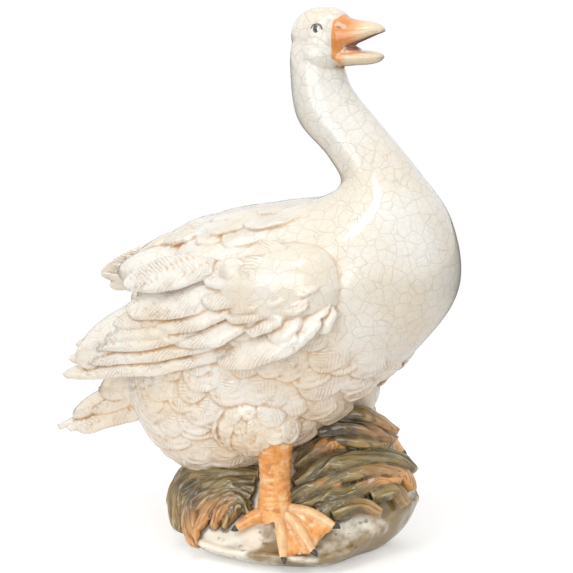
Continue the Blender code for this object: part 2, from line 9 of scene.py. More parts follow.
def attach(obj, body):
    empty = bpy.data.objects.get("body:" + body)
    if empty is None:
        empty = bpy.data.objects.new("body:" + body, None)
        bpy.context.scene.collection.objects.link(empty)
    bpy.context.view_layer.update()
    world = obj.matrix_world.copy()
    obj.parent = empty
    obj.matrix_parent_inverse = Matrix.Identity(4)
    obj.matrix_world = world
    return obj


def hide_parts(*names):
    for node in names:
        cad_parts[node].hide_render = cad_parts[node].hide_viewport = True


# Glazed pottery goose, calling, on a leafy rock. The CAD solid is one casting, and so is the skin made here:
# every carved form is a closed shell, and the shells are blended into one surface as slip and glaze do.
# Sizes are in millimetres until a mesh is made. +X is the way the goose faces, +Z is up.

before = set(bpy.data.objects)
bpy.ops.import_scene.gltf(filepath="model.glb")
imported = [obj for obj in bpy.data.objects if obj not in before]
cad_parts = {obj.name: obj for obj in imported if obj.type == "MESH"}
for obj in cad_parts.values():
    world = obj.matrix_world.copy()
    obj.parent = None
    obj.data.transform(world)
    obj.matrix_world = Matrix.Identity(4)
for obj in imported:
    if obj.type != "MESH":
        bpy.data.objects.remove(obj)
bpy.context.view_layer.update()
metre = 0.001


# A new object in the scene
def newObject(name, data):
    thing = bpy.data.objects.new(name, data)
    bpy.context.scene.collection.objects.link(thing)
    return thing


# A vector, or each of many, divided by its length
def unit(vector):
    vector = np.asarray(vector, float)
    return vector / np.linalg.norm(vector, axis=-1, keepdims=True)


# The straight way from the first to the last
def mix(first, last, share):
    return np.asarray(first, float) * (1 - share) + np.asarray(last, float) * share


# A smooth curve through rows of values: each stretch is a cubic that leaves and arrives along its neighbours
def smoothRows(rows, places):
    rows = np.asarray(rows, float)
    places = np.clip(np.asarray(places, float) * (len(rows) - 1), 0, len(rows) - 1)
    index = np.minimum(places.astype(int), len(rows) - 2)
    share = (places - index)[..., None]
    before = rows[np.maximum(index - 1, 0)]
    start = rows[index]
    end = rows[index + 1]
    after = rows[np.minimum(index + 2, len(rows) - 1)]
    leave = (end - before) / 2
    arrive = (after - start) / 2
    return (start * (2 * share**3 - 3 * share**2 + 1) + leave * (share**3 - 2 * share**2 + share)
            + end * (3 * share**2 - 2 * share**3) + arrive * (share**3 - share**2))


# Shells: closed grids of points, each with its paint values, gathered for one casting

paintNames = ("feather", "along", "across", "mouth", "leg", "claw", "leaf", "tip")


class Casting:
    def __init__(self):
        self.points = []
        self.faces = []
        self.paint = []
        self.count = 0

    # A closed shell through rings of points; each end ring is drawn to its own middle
    def add(self, rings, **paint):
        steps, around = rings.shape[:2]
        index = np.arange(steps * around).reshape(steps, around)
        nextAround = np.roll(index, -1, axis=1)
        sides = np.stack((index[:-1], nextAround[:-1], nextAround[1:], index[1:]), -1).reshape(-1, 4)
        firstCap = steps * around
        lastCap = firstCap + 1
        first = np.stack((nextAround[0], index[0], np.full(around, firstCap), np.full(around, firstCap)), -1)
        last = np.stack((index[-1], nextAround[-1], np.full(around, lastCap), np.full(around, lastCap)), -1)
        points = np.vstack((rings.reshape(-1, 3), rings[0].mean(axis=0), rings[-1].mean(axis=0)))
        faces = np.vstack((sides, first, last))
        # Each four-sided face is two triangles; the sum of their pyramids to the origin is negative inside out
        corners = points[np.vstack((faces[:, [0, 1, 2]], faces[:, [0, 2, 3]]))]
        if (corners[:, 0] * np.cross(corners[:, 1], corners[:, 2])).sum() < 0:
            faces = faces[:, ::-1]
        values = np.zeros((len(points), len(paintNames)))
        for name, value in paint.items():
            grid = np.broadcast_to(value, (steps, around))
            values[:, paintNames.index(name)] = np.concatenate((grid.ravel(), [grid[0].mean(), grid[-1].mean()]))
        self.points.append(points)
        self.faces.append(faces + self.count)
        self.paint.append(values)
        self.count += len(points)


# Even turns round a ring
def turnsOf(around):
    return np.arange(around) * 2 * math.pi / around


# A bar along a path: a circle of the radius there, plus the relief, in the plane across the path
def bar(casting, path, radii, side=(0, 1, 0), around=20, steps=24, relief=None, **paint):
    share = np.linspace(0, 1, steps)
    rows = smoothRows(np.column_stack((path, radii)), share)
    centre, radius = rows[:, :3], rows[:, 3]
    along = unit(np.gradient(centre, axis=0))
    across = unit(np.asarray(side, float) - along * (along @ np.asarray(side, float))[:, None])
    up = np.cross(along, across)
    turns = turnsOf(around)
    radius = radius[:, None] + (relief(share[:, None], turns[None]) if relief else 0 * turns)
    outward = np.cos(turns)[:, None] * across[:, None] + np.sin(turns)[:, None] * up[:, None]
    casting.add(centre[:, None] + radius[..., None] * outward, **paint)


# The outline of a cross section: a circle squared by a power, so that its top is flat and its edge is round
def squared(turns, power):
    across = np.sign(np.cos(turns)) * np.abs(np.cos(turns)) ** (2 / power)
    height = np.sign(np.sin(turns)) * np.abs(np.sin(turns)) ** (2 / power)
    return across, height


# An egg-shaped lump: rings whose girth follows half an oval, squared by the power and tilted in the side view
def lump(casting, centre, radii, tilt=0.0, steps=28, around=40, power=2.0, **paint):
    lean = math.radians(tilt)
    share = np.linspace(0.02, 0.98, steps)[:, None]
    turns = turnsOf(around)[None]
    ahead, girth = squared(share * math.pi, power)
    across, height = squared(turns, power)
    x, y, z = -ahead * radii[0] + 0 * turns, girth * radii[1] * across, girth * radii[2] * height
    rings = np.stack((x * math.cos(lean) - z * math.sin(lean), y, x * math.sin(lean) + z * math.cos(lean)), -1)
    casting.add(rings + np.asarray(centre, float), **paint)


# The places of a blade's rings along it, from just past its root to just before its tip
def bladePlaces(steps):
    return np.linspace(0.01, 0.995, steps)[:, None]


# A blade along a path of three or four points: a squared oval with the half width and thickness of each place,
# and a relief on its outer face. It keeps how far along and across it each point is, in mm, for its painting.
def blade(casting, path, out, half, thick, relief, under=0.5, power=2.6, roll=0.0, steps=44, around=40, **paint):
    share = bladePlaces(steps)
    turns = turnsOf(around)[None]
    centre = smoothRows(path, share[:, 0])
    along = unit(np.gradient(centre, axis=0))
    length = np.linalg.norm(np.diff(np.asarray(path, float), axis=0), axis=1).sum()
    out = np.asarray(out, float)
    out = unit(out - along * (along @ out)[:, None])
    side = np.cross(along, out)
    turnedSide = (side * math.cos(roll) + out * math.sin(roll))[:, None]
    turnedOut = (out * math.cos(roll) - side * math.sin(roll))[:, None]
    across, height = squared(turns, power)
    across = across + 0 * share
    top = height > 0
    height = np.where(top, 1.0, under) * thick(share) * height
    height = height + np.where(top, relief(share, across), 0) * np.abs(np.sin(turns)) ** 0.5
    rings = centre[:, None] + (across * half(share))[..., None] * turnedSide + height[..., None] * turnedOut
    casting.add(rings, along=share * length, across=across * half(share), **paint)


# A feather: flat, with a rounded tip, a groove down its shaft, slanting barbs, and edges that wander a little
feathers = {"barbPitch": 6.0, "barbDepth": 1.1, "shaftDepth": 0.56, "shaftWidth": 0.8, "slant": 1.2,
            "wander": 0.05}


def feather(casting, path, width, thickness, out, roll=0.0, blunt=3.0, barbs=1.0, phase=0.0, under=0.5,
            point=0.5):
    path = np.asarray(path, float)
    length = np.linalg.norm(np.diff(path, axis=0), axis=1).sum()

    def half(share):
        wander = 1 + feathers["wander"] * (np.sin(9 * share + 5 * phase) + 0.6 * np.sin(21 * share + 3 * phase))
        return width / 2 * np.minimum(1, 0.35 + 1.6 * share) * (1 - share**blunt) ** point * wander

    def thick(share):
        return thickness / 2 * (1 - 0.45 * share**2)

    def relief(share, across):
        offset = across * half(share)
        shaft = -feathers["shaftDepth"] * np.exp(-(offset / feathers["shaftWidth"]) ** 2)
        reach = share * length
        bent = 1.5 * np.sin(reach / 7 + 4 * phase) + 1.1 * np.sin(offset / 2.3 + 2 * phase + reach / 9)
        lines = (reach - np.abs(offset) * feathers["slant"] + bent) / feathers["barbPitch"]
        uneven = 0.5 + 0.5 * np.sin(reach / 4.7 + 6 * across + 9 * phase)
        barb = -feathers["barbDepth"] * uneven * (0.5 + 0.5 * np.cos(2 * math.pi * lines)) ** 2
        edge = -0.8 * np.abs(across) ** 6
        fade = np.clip((1 - share) * 6, 0, 1) * np.clip(share * 6, 0, 1)
        return (shaft * min(1, barbs**2) + barb * barbs * np.clip(np.abs(across) * 4, 0, 1)) * fade + edge

    blade(casting, path, out, half, thick, relief, under, roll=roll, feather=1.0)


# A small curly feather: a low rounded pad with C-shaped cuts that follow its tip, or slanting barbs on some
curls = {"cutDepth": 1.7, "cutWidth": 0.1, "barbPitch": 4.0, "barbDepth": 0.7}


def curlyFeather(casting, path, out, width, thickness, roll=0.0, twist=0.0):
    def half(share):
        return width / 2 * np.minimum(1, 0.3 + 2.2 * share) * np.sqrt(1 - share**3.5)

    def thick(share):
        return thickness / 2 * (1 - 0.3 * share**2)

    def relief(share, across):
        reach = np.hypot(np.clip(share - 0.2, 0, 1) / 0.8, across * 0.9 + twist * (1 - share))
        bent = reach + 0.05 * np.sin(5 * across + 8 * twist)
        wander = 0.5 + 0.5 * np.sin(7 * across + 11 * twist)
        cut = sum(deep * np.exp(-((bent - at) / curls["cutWidth"]) ** 2)
                  for at, deep in ((0.42, 0.3 + 0.7 * wander), (0.76, 1.0 - 0.5 * wander)))
        lines = (share * 38 - np.abs(across) * 9 * (1 + twist)) / curls["barbPitch"]
        barb = curls["barbDepth"] * (0.5 + 0.5 * np.cos(2 * math.pi * lines)) ** 2
        barb = barb * np.clip(np.abs(across) * 3, 0, 1)
        barbed = 0.5 + 0.5 * np.tanh(6 * twist)
        return -(curls["cutDepth"] * cut * (1 - 0.6 * barbed) + barb * barbed) * np.clip((share - 0.1) * 5, 0, 1)

    blade(casting, path, out, half, thick, relief, roll=roll, steps=28, around=32, feather=0.5)


# Body: ovals that run from a point on the back to one on the breast, from the head to the rump
body = {
    "neckWidth": 39.0, "neckTop": 352.0, "headX": 17.0, "headZ": 372.0, "width": 142.0,
    "breastX": 121.0, "breastZ": 212.0, "rumpX": -128.0, "backZ": 247.0, "bellyZ": 48.0,
}


# Each row: the point on the back (x, z), the point on the breast or belly (x, z), and the half width
def bodyRows():
    neck = body["neckWidth"] / 2
    wide = body["width"] / 2
    breastX, breastZ, backZ, bellyZ, rumpX = (body[k] for k in ("breastX", "breastZ", "backZ", "bellyZ", "rumpX"))
    headX, headZ, neckTop = body["headX"], body["headZ"], body["neckTop"]
    return (
        (headX - neck * 0.88, headZ, headX + neck * 0.7, headZ, neck * 0.75),
        (headX - neck, neckTop, headX + neck, neckTop - 4, neck * 0.92),
        (headX - neck * 0.7, neckTop - 38, headX + neck * 1.35, neckTop - 18, neck),
        (27, 289, 66, 309, neck * 1.1),
        (37, 270, breastX - 30, 281, neck * 1.4),
        (14, backZ + 10, breastX - 6, 246, wide * 0.66),
        (-22, backZ + 3, breastX, breastZ - 12, wide * 0.88),
        (-56, backZ - 5, breastX - 26, breastZ - 54, wide),
        (-90, backZ - 22, 45, 110, wide),
        (-112, backZ - 48, -5, bellyZ + 22, wide * 0.93),
        (rumpX + 6, 172, -52, bellyZ, wide * 0.78),
        (rumpX, 142, -90, bellyZ + 6, wide * 0.55),
        (rumpX - 2, 118, -116, bellyZ + 32, wide * 0.25),
    )


# A point of the body: an oval between the back and front points, turned from the belly (0) to the back (pi)
def bodyPoint(place, turn, lift=0.0):
    place, turn = np.broadcast_arrays(np.asarray(place, float), np.asarray(turn, float))
    rows = smoothRows(bodyRows(), place)
    back = np.stack((rows[..., 0], 0 * place, rows[..., 1]), -1)
    front = np.stack((rows[..., 2], 0 * place, rows[..., 3]), -1)
    reach = (front - back) / 2 + unit(front - back) * lift
    side = np.stack((0 * place, rows[..., 4] + lift, 0 * place), -1)
    return (back + front) / 2 + reach * np.cos(turn)[..., None] + side * np.sin(turn)[..., None]


# The way out of the body at a point: across both of its directions there
def bodyOut(place, turn):
    small = 0.01
    along = bodyPoint(min(1, place + small), turn) - bodyPoint(max(0, place - small), turn)
    around = bodyPoint(place, turn + small) - bodyPoint(place, turn - small)
    return unit(np.cross(along, around))


# Rings of body points from the head to the rump
def makeBody(casting):
    share = np.linspace(0, 1, 240)[:, None]
    casting.add(bodyPoint(share, turnsOf(160)[None]))


# Head and beak: a domed skull with cheeks, a deep-rooted upper beak, a lower beak and the flesh between them
head = {
    "skull": ((20.6, 0, 371.2), (22.8, 16.5, 20.2)), "brow": ((27.2, 0, 375.4), (15.4, 12.8, 16.0)),
    "cheek": ((20.0, 5.8, 360.0), (16.5, 12.3, 17.5)), "eye": ((22.6, 13.9, 377.8), (4.0, 2.5, 3.1)),
    # Each ring of the beak: how far forward, middle height, half height, half width
    "upper": ((30, 374.5, 14.5, 12.0), (35, 374.0, 14.0, 12.2), (42, 374.1, 10.3, 11.6), (50, 375.4, 7.7, 10.6),
              (57, 376.8, 5.7, 9.2), (62, 377.3, 3.7, 7.2), (65.8, 376.9, 1.7, 4.0)),
    "lower": ((30, 356.5, 6.2, 11.0), (38, 357.4, 5.9, 11.0), (48, 358.1, 5.5, 10.2), (56, 358.3, 4.9, 9.0),
              (62, 358.5, 3.6, 6.8), (65.2, 358.8, 1.7, 3.8)),
    "flesh": ((40.5, 0, 361.5), (9.5, 9.0, 4.6)),
}


# Lumps for the skull, brow, cheeks and eyes, a bar for each lid, and squared ovals along the beak
def makeHead(casting):
    for name in ("skull", "brow"):
        lump(casting, *head[name], -6, 50, 70)
    for side in (-1, 1):
        for name in ("cheek", "eye"):
            centre, radii = head[name]
            lump(casting, np.array(centre) * (1, side, 1), radii, -8, 30)
        x, y, z = head["eye"][0]
        turns = np.radians(np.linspace(-15, 200, 9))
        out = side * (y + 1.6 - 0.3 * np.abs(np.cos(turns)))
        lid = np.stack((x + 4.0 * np.cos(turns), out, z - 0.6 + 3.5 * np.sin(turns)), -1)
        bar(casting, lid, np.linspace(0.7, 0.9, 9), steps=30, around=14)
    turns = turnsOf(56)[None]
    share = np.linspace(0, 1, 50)[:, None]
    for name, inside in (("upper", -1), ("lower", 1)):
        row = smoothRows(head[name], share[:, 0])[:, None]
        height = np.sin(turns)
        rise = np.where(height * inside > 0, 0.85 * np.sign(height) * np.abs(height) ** 0.5, height)
        x, z = row[..., 0] + 0 * turns, row[..., 1] + row[..., 2] * rise
        ring = np.stack((x, row[..., 3] * np.cos(turns), z), -1)
        inner = (np.sin(turns) * inside > 0.7) * (1.0 if name == "upper" else 0.35)
        casting.add(ring, mouth=inner + 0 * share)
    lump(casting, *head["flesh"], 0, 24, 32, mouth=0.6)


# Wings: long flight feathers, a middle row, an upper row and rounded coverts on a swollen shoulder
wing = {
    "shoulder": (48.0, 205.0), "farRaise": 15.0, "roll": 0.22,
    "swell": (14.0, 48.0, 204.0), "swellReach": (50.0, 35.0, 30.0), "swellPower": 2.7,
    # Middles of the soft swirls on the shoulder
    "swirls": ((-12, 216), (2, 200), (6, 219), (20, 205), (26, 220), (36, 201), (42, 214), (-2, 188), (18, 189)),
    # Each feather: root, middle and tip, with +Y away from the body; then the width of all in the row,
    # the thickness, how round the tip is, how deep the barbs are, and the share of the far wing's raising
    "flight": (24.0, 7.0, 2.0, 0.9, 1.0, (
        ((-18, 70, 158), (-94, 61, 140), (-171, 41, 118)), ((-19, 72, 168), (-88, 63, 151), (-165, 42, 131)),
        ((-27, 72, 176), (-92, 63, 160), (-157, 44, 143)), ((-33, 69, 185), (-84, 64, 168), (-137, 50, 153)),
        ((-38, 68, 194), (-76, 64, 180), (-119, 54, 164)), ((-38, 67, 203), (-71, 64, 191), (-107, 56, 178)))),
    "middle": (23.0, 7.0, 3.4, 0.7, 0.5, (
        ((1, 75, 183), (-31, 74, 171), (-63, 68, 163)), ((-10, 75, 193), (-43, 73, 181), (-77, 66, 172)),
        ((-23, 73, 203), (-56, 70, 190), (-91, 62, 180)))),
    "upper": (29.0, 6.5, 2.6, 2.0, 0.2, (
        ((-24, 72, 199), (-62, 69, 189), (-106, 58, 178)), ((-28, 70, 217), (-66, 67, 209), (-109, 56, 196)))),
    "lower": (24.0, 8.0, 3.6, 0.35, 0.0, (
        ((46, 73, 181), (20, 75, 168), (-6, 72, 160)), ((38, 76, 176), (7, 76, 163), (-26, 71, 151)))),
    "covert": (25.0, 6.8, 3.6, 0.2, 0.0, (
        ((2, 71, 220), (-15, 73, 215), (-36, 72, 209)), ((8, 73, 209), (-13, 75, 202), (-36, 75, 195)),
        ((22, 73, 203), (4, 76, 195), (-17, 77, 185)), ((28, 73, 199), (14, 76, 188), (-2, 77, 177)),
        ((38, 72, 197), (28, 75.5, 185), (16, 77, 173)), ((44, 69, 198), (41, 73, 186), (34, 75, 173)),
        ((48, 65, 200), (50, 68, 189), (47, 69, 179)))),
    "mantle": (27.0, 4.4, 3.6, 0.4, 0.0, (
        ((44, 70, 228), (27, 73, 222), (8, 75, 213)), ((50, 72, 216), (36, 75, 208), (20, 77, 198)),
        ((53, 63, 208), (46, 69, 199), (37, 74, 190)), ((26, 68, 231), (8, 71, 226), (-14, 72, 218)))),
    # Lumps that carry the feathers: middle, share of the raising, radii and tilt
    "carriers": (((-34, 46, 196), 0, (66, 25, 34), 20), ((-92, 30, 206), 0, (36, 22, 14), 14),
                 ((-84, 42, 164), 0.6, (76, 19, 25), 22), ((-120, 50, 148), 0.95, (38, 5, 16), 24)),
    # The tip of the far wing, broad where it shows over the back: path, width, thickness and phase
    "farTip": ((((-80, 60, 214), (-134, 55, 197), (-190, 47, 176)), 30, 8, 4.0),
               (((-80, 58, 204), (-130, 53, 184), (-181, 45, 168)), 26, 7, 2.0)),
}


# One wing: its rows of feathers, raised by a turn about the shoulder, over lumps that carry them
def makeWing(casting, side, turn):
    shoulder = np.array(wing["shoulder"])
    out = (0.12, side, 0.35)

    # A point of the wing, turned about the shoulder by a share of the raising
    def placed(point, raised):
        angle = math.radians(turn * raised)
        forward, rise = np.array((point[0], point[2])) - shoulder
        return (shoulder[0] + forward * math.cos(angle) + rise * math.sin(angle), side * point[1],
                shoulder[1] - forward * math.sin(angle) + rise * math.cos(angle))

    for name in ("flight", "middle", "upper", "lower", "covert", "mantle"):
        width, thickness, blunt, barbs, raised, rows = wing[name]
        for i, (root, middle, tip) in enumerate(rows):
            lifted = raised * (1 - 0.05 * i)
            path = (placed(root, 0), placed(middle, lifted * 0.5), placed(tip, lifted))
            feather(casting, path, width, thickness, out, side * wing["roll"], blunt, barbs, i * 1.7 + len(name))
    x, y, z = wing["swell"]
    reachX, reachY, reachZ = wing["swellReach"]
    power = wing["swellPower"]
    lump(casting, placed((x, y, z), 0), (reachX, reachY, reachZ), 12, 44, 60, power, feather=0.3)
    # Swirls lie on the swollen shoulder: how far out it reaches is an oval squared by its power
    for i, (swirlX, swirlZ) in enumerate(wing["swirls"]):
        swirl = np.array([(8, -4, 6), (0, -1.4, 0), (-8, -2, -7)]) + (swirlX, 0, swirlZ)
        inside = 1 - np.abs((swirl[:, 0] - x) / reachX) ** power - np.abs((swirl[:, 2] - z) / reachZ) ** power
        swirl[:, 1] += y + reachY * np.maximum(0.1, inside) ** (1 / power)
        curlyFeather(casting, [placed(point, 0) for point in swirl], (0, side, 0.2), 20, 3.6, 0, 0.35 * (-1) ** i)
    for middle, raised, radii, tilt in wing["carriers"]:
        lump(casting, placed(middle, raised), radii, tilt, feather=0.2)
    for path, width, thickness, phase in wing["farTip"] if side > 0 else ():
        feather(casting, path, width, thickness, out, 0.0, 2.2, 0.8, phase)


# Tail: three layers of pointed feathers, the longest lowest. Each layer: count, root height, tip reach and
# height, and half its spread at the tips
tail = {"rootX": -92.0, "width": 28.0, "thickness": 11.0,
        "layers": ((5, 106.0, -204.0, 61.0, 18.0), (4, 117.0, -192.0, 77.0, 16.0), (3, 127.0, -166.0, 96.0, 12.0))}


# Pointed feathers from the tail's root to its tips, over two lumps that carry them
def makeTail(casting):
    for count, rootZ, reach, low, spread in tail["layers"]:
        for i in range(count):
            share = 2 * i / (count - 1) - 1
            outer = abs(share)
            root = np.array((tail["rootX"], share * spread, rootZ - 4 * outer))
            tip = np.array((reach + 30 * outer, share * spread, low + 6 * outer))
            middle = (root + tip) / 2 + (0, 0, 4)
            feather(casting, (root, middle, tip), tail["width"], tail["thickness"], (-0.35, share * 0.9, 1),
                    -0.3 * share, 1.6, 1.6, i + count, 0.5, 0.62)
    lump(casting, (-124, 0, 108), (42, 24, 20), 22, feather=0.2)
    lump(casting, (-150, 0, 93), (44, 17, 11), 27, feather=0.2)


# Small feathers in staggered rows on the flanks, back and thighs; each root is sunk and each tip stands out
plumage = {"flankRows": 10, "flankColumns": 10, "length": 28.0, "width": 25.0, "root": -2.2, "lift": 0.7,
           "thickness": 4.2, "shorterFrom": 0.84, "shorter": 0.55,
           "rumpRows": ((-20, -66), (-50, -97), (-80, -127)), "backRows": 7, "backLength": 44.0, "backWidth": 34.0,
           "backThickness": 4.0, "seed": 7}


# Each feather runs along the body from its place on it, with a chance drift, size and curl
def makePlumage(casting):
    chance = np.random.default_rng(plumage["seed"])
    for side in (-1, 1):
        for line in range(plumage["flankRows"]):
            place = 0.59 + 0.034 * line
            for i in range(plumage["flankColumns"]):
                turn = side * (0.20 + 0.185 * (i + 0.5 * (line % 2)) + chance.uniform(-0.045, 0.045))
                here = place + chance.uniform(-0.009, 0.009)
                root = bodyPoint(here, turn, plumage["root"])
                out = bodyOut(here, turn)
                drift = chance.uniform(-0.11, 0.11)
                along = unit(bodyPoint(here + 0.06, turn + drift) - bodyPoint(here, turn))
                length = plumage["length"] * chance.uniform(0.75, 1.15)
                length = length * (plumage["shorter"] if here > plumage["shorterFrom"] else 1)
                end = bodyPoint(here + 0.04, turn + drift, plumage["lift"])
                tip = root + along * length + out * np.dot(end - root - along * np.dot(end - root, along), out)
                width = plumage["width"] * chance.uniform(0.8, 1.15)
                curlyFeather(casting, (root, (root + tip) / 2 + out * 1.1, tip), out, width, plumage["thickness"],
                             0.08 * side, chance.uniform(-0.4, 0.4))
    # Rows of feathers that fold over the rump between the wings, each row from under the tips of the one before
    for line, (start, end) in enumerate(plumage["rumpRows"]):
        for y in (-39, -13, 13, 39) if line % 2 == 0 else (-26, 0, 26):
            root, middle, tip = (np.array((x, y, body["backZ"] + lift - 0.0031 * (x + 10) ** 2 - 0.007 * y * y))
                                 for x, lift in ((start, -3), ((start + end) / 2, 1), (end + 0.2 * abs(y), 1.5)))
            feather(casting, (root, middle, tip), 30, 7, (-0.3, y * 0.012, 1), 0.0, 2.6, 1.2, y + line, 1.6)
    for line in range(plumage["backRows"]):
        place = 0.42 + 0.07 * line
        for i in range(5):
            turn = math.pi + 0.30 * (i - 2 + 0.5 * (line % 2)) + chance.uniform(-0.04, 0.04)
            step = np.linalg.norm(bodyPoint(place + 0.07, turn) - bodyPoint(place, turn))
            reach = 0.07 * plumage["backLength"] * chance.uniform(0.8, 1.05) / step
            lifts = (-3, 0, -1.2 if line == plumage["backRows"] - 1 else 1.3)
            path = [bodyPoint(place + reach * share, turn, lift) for share, lift in zip((0, 0.5, 1), lifts)]
            feather(casting, path, plumage["backWidth"], plumage["backThickness"], bodyOut(place, turn), 0.0, 3.4,
                    0.5, line + i, 2.6)


# Curly feathers over the swell of a thigh, down to the fringe above the shank
def makeThigh(casting, centre, top, side):
    centre, top = np.array(centre, float), np.array(top, float)
    radii = np.array((37.0, 24.0, 33.0))
    lump(casting, centre, radii, -18)
    lump(casting, top + (-2, side, 5), (18, 16.5, 14))
    for line, low in enumerate((20, 0, -20, -38, -54)):
        for i in range(5):
            turn = math.radians(-44 + 24 * (i + 0.5 * (line % 2)))
            drop = math.radians(low)
            out = np.array((-math.sin(turn), side * math.cos(turn), 0)) * math.cos(drop) + (0, 0, math.sin(drop))
            root = centre + radii * out * 0.94
            ahead = np.array((-math.sin(turn + 0.2), side * math.cos(turn + 0.2), 0))
            tip = centre + radii * ahead * math.cos(drop - 0.5)
            tip = tip + radii * (0, 0, math.sin(drop - 0.55)) + out * 1.0
            path = (root, (root + tip) / 2 + out * 2.2, tip)
            curlyFeather(casting, path, out, 22, 5, 0.05 * side, 0.35 * (-1) ** i)
    for i in range(8):
        turn = math.radians(22.5 + 45 * i)
        out = np.array((math.cos(turn), math.sin(turn), 0.0))
        root, tip = top + out * (14, 12, 1) + (0, 0, 10), top + out * (15.5, 14.5, 1) + (0, 0, -8)
        path = (root, (root + tip) / 2 + out * 2.0, tip)
        curlyFeather(casting, path, out + (0, 0, -0.3), 19, 4.5, 0, 0.3 * (-1) ** i)


# Rock: rings that shrink from the rim to the middle, with heaps of leaf clay raised on its top
rock = {"length": 174.0, "width": 136.0, "turn": 25.0, "roundness": 1.9, "rim": 15.0, "foot": 0.72,
        # Each heap: its middle (x, y), its reach along x and y, and its height
        "heaps": ((-46, -8, 48, 36, 50.0), (14, 4, 26, 32, 44.0), (50, 26, 34, 36, 82.0), (4, -38, 18, 16, 14.0))}


# Height of the rock: its rim, a little wavy, and heaps that fall off as a bell does
def rockTop(x, y):
    top = rock["rim"] + 2 * np.sin(x / 13 + 1) * np.cos(y / 11)
    for middleX, middleY, reachX, reachY, height in rock["heaps"]:
        top = top + height * np.exp(-(((x - middleX) / reachX) ** 2) - ((y - middleY) / reachY) ** 2)
    return top


# A wavy squared oval that is turned, carried up its side and in over its top, then roughened along its way out
def makeRock(casting):
    around = 200
    turns = turnsOf(around)
    waves = 0.03 * np.sin(3 * turns + 0.6) + 0.025 * np.sin(5 * turns + 2.0) + 0.015 * np.sin(9 * turns)
    corners = np.abs(np.cos(turns)) ** rock["roundness"] + np.abs(np.sin(turns)) ** rock["roundness"]
    oval = (1 + waves) / corners ** (1 / rock["roundness"])
    plan = oval[:, None] * np.stack((rock["length"] / 2 * np.cos(turns), rock["width"] / 2 * np.sin(turns)), 1)
    lean = math.radians(rock["turn"])
    plan = plan @ np.array(((math.cos(lean), math.sin(lean)), (-math.sin(lean), math.cos(lean))))
    edge = rockTop(plan[:, 0], plan[:, 1])
    foot = rock["foot"]
    profile = [(foot * 0.6, 0 * edge), (foot, 0 * edge), (mix(foot, 1, 0.6), edge * 0.24), (1.0, edge * 0.66),
               (0.985, edge * 0.82)]
    for share in (0.93, 0.84, 0.74, 0.64, 0.52, 0.4, 0.26, 0.12):
        ring = plan * share
        soft = math.sqrt(1 - (max(0.0, share - 0.5) / 0.72) ** 2)
        profile.append((share, rockTop(ring[:, 0], ring[:, 1]) * soft))
    rows = np.array([np.hstack((plan * share, level[:, None])) for share, level in profile])
    rings = smoothRows(rows.reshape(len(rows), -1), np.linspace(0, 1, 130)).reshape(130, around, 3)
    x, y, z = rings[..., 0], rings[..., 1], rings[..., 2]
    rough = np.sin(x / 5.3 + 2 * np.sin(y / 7)) * np.sin(y / 6.1 + z / 5)
    rough = rough + 0.5 * np.sin(x / 2.9 + z / 3.1) * np.cos(y / 3.3)
    out = unit(np.stack((x, y, 0 * z + 25), -1))
    rings = rings + out * (0.7 * rough * np.clip(z / 6, 0, 1))[..., None]
    rings[..., 2] = np.maximum(rings[..., 2], 0)
    casting.add(rings)


# Leaves: thick folded blades that flow over the heap, each with strands along it. Each is given by the points
# of its middle line on the heap, its width, and how orange its tip is painted.
leaves = {
    "thickness": 6.5, "strandWidth": 5.0, "strandDepth": 1.3,
    "right": (
        (((29, 4, 97), (47, 10, 101), (60, 15, 95), (69, 26, 84)), 20, 0.6),
        (((19, -3, 86), (38, 4, 92), (56, 8, 90), (71, 20, 80)), 20, 0.4),
        (((12, -11, 73), (33, -2, 83), (53, 4, 83), (68, 13, 77)), 18, 0.2),
        (((10, -18, 63), (18, -12, 74), (30, -6, 81), (43, -4, 80)), 14, 1.0),
        (((11, -24, 52), (29, -11, 67), (52, 0, 73), (74, 14, 70), (83, 27, 56)), 22, 0.0),
        (((19, -26, 48), (40, -10, 61), (63, 1, 66), (79, 14, 59), (86, 15, 46)), 24, 0.8),
        (((40, -23, 39), (55, -11, 51), (68, -2, 58), (81, 8, 56)), 17, 1.0),
        (((11, -34, 42), (21, -24, 51), (32, -18, 56), (45, -16, 54)), 16, 1.0),
        (((17, -34, 37), (30, -24, 45), (47, -17, 49), (62, -9, 53)), 15, 0.0),
        (((29, -32, 32), (39, -25, 40), (48, -20, 44)), 12, 0.1),
        (((41, -27, 35), (57, -18, 42), (74, -13, 37)), 17, 0.4),
        (((64, -9, 46), (77, 1, 50), (86, 3, 39)), 18, 0.3),
    ),
    "left": (
        (((-20, -19, 54), (-44, -25, 56), (-66, -22, 52), (-80, -20, 42)), 24, 0.2),
        (((-20, -25, 49), (-42, -31, 50), (-62, -32, 43), (-77, -36, 32)), 20, 0.0),
        (((-18, -30, 44), (-38, -34, 46), (-55, -41, 38), (-65, -52, 26)), 17, 0.3),
        (((-19, -34, 40), (-34, -36, 43), (-46, -47, 33), (-50, -60, 19)), 16, 0.8),
        (((-18, -39, 35), (-28, -38, 40), (-36, -46, 34), (-39, -57, 22)), 13, 0.9),
        (((-16, -42, 31), (-23, -41, 36), (-29, -46, 31), (-31, -55, 22)), 12, 0.3),
        (((-66, -6, 58), (-80, -12, 48), (-88, -20, 34), (-84, -36, 24)), 20, 0.3),
        (((-33, -32, 47), (-43, -37, 43), (-52, -45, 34), (-60, -53, 22)), 14, 0.5),
        (((-72, -20, 47), (-78, -32, 37), (-75, -44, 26), (-66, -55, 15)), 20, 0.2),
        (((-58, -34, 42), (-62, -46, 32), (-56, -58, 20), (-47, -67, 10)), 17, 0.9),
    ),
    # The leaves of the hidden side spread from the middle to these places on the rim
    "far": ((50, 64, 24), (26, 66, 26), (0, 62, 24), (-30, 58, 24), (-58, 44, 26), (-80, 22, 26), (-88, 2, 24)),
}


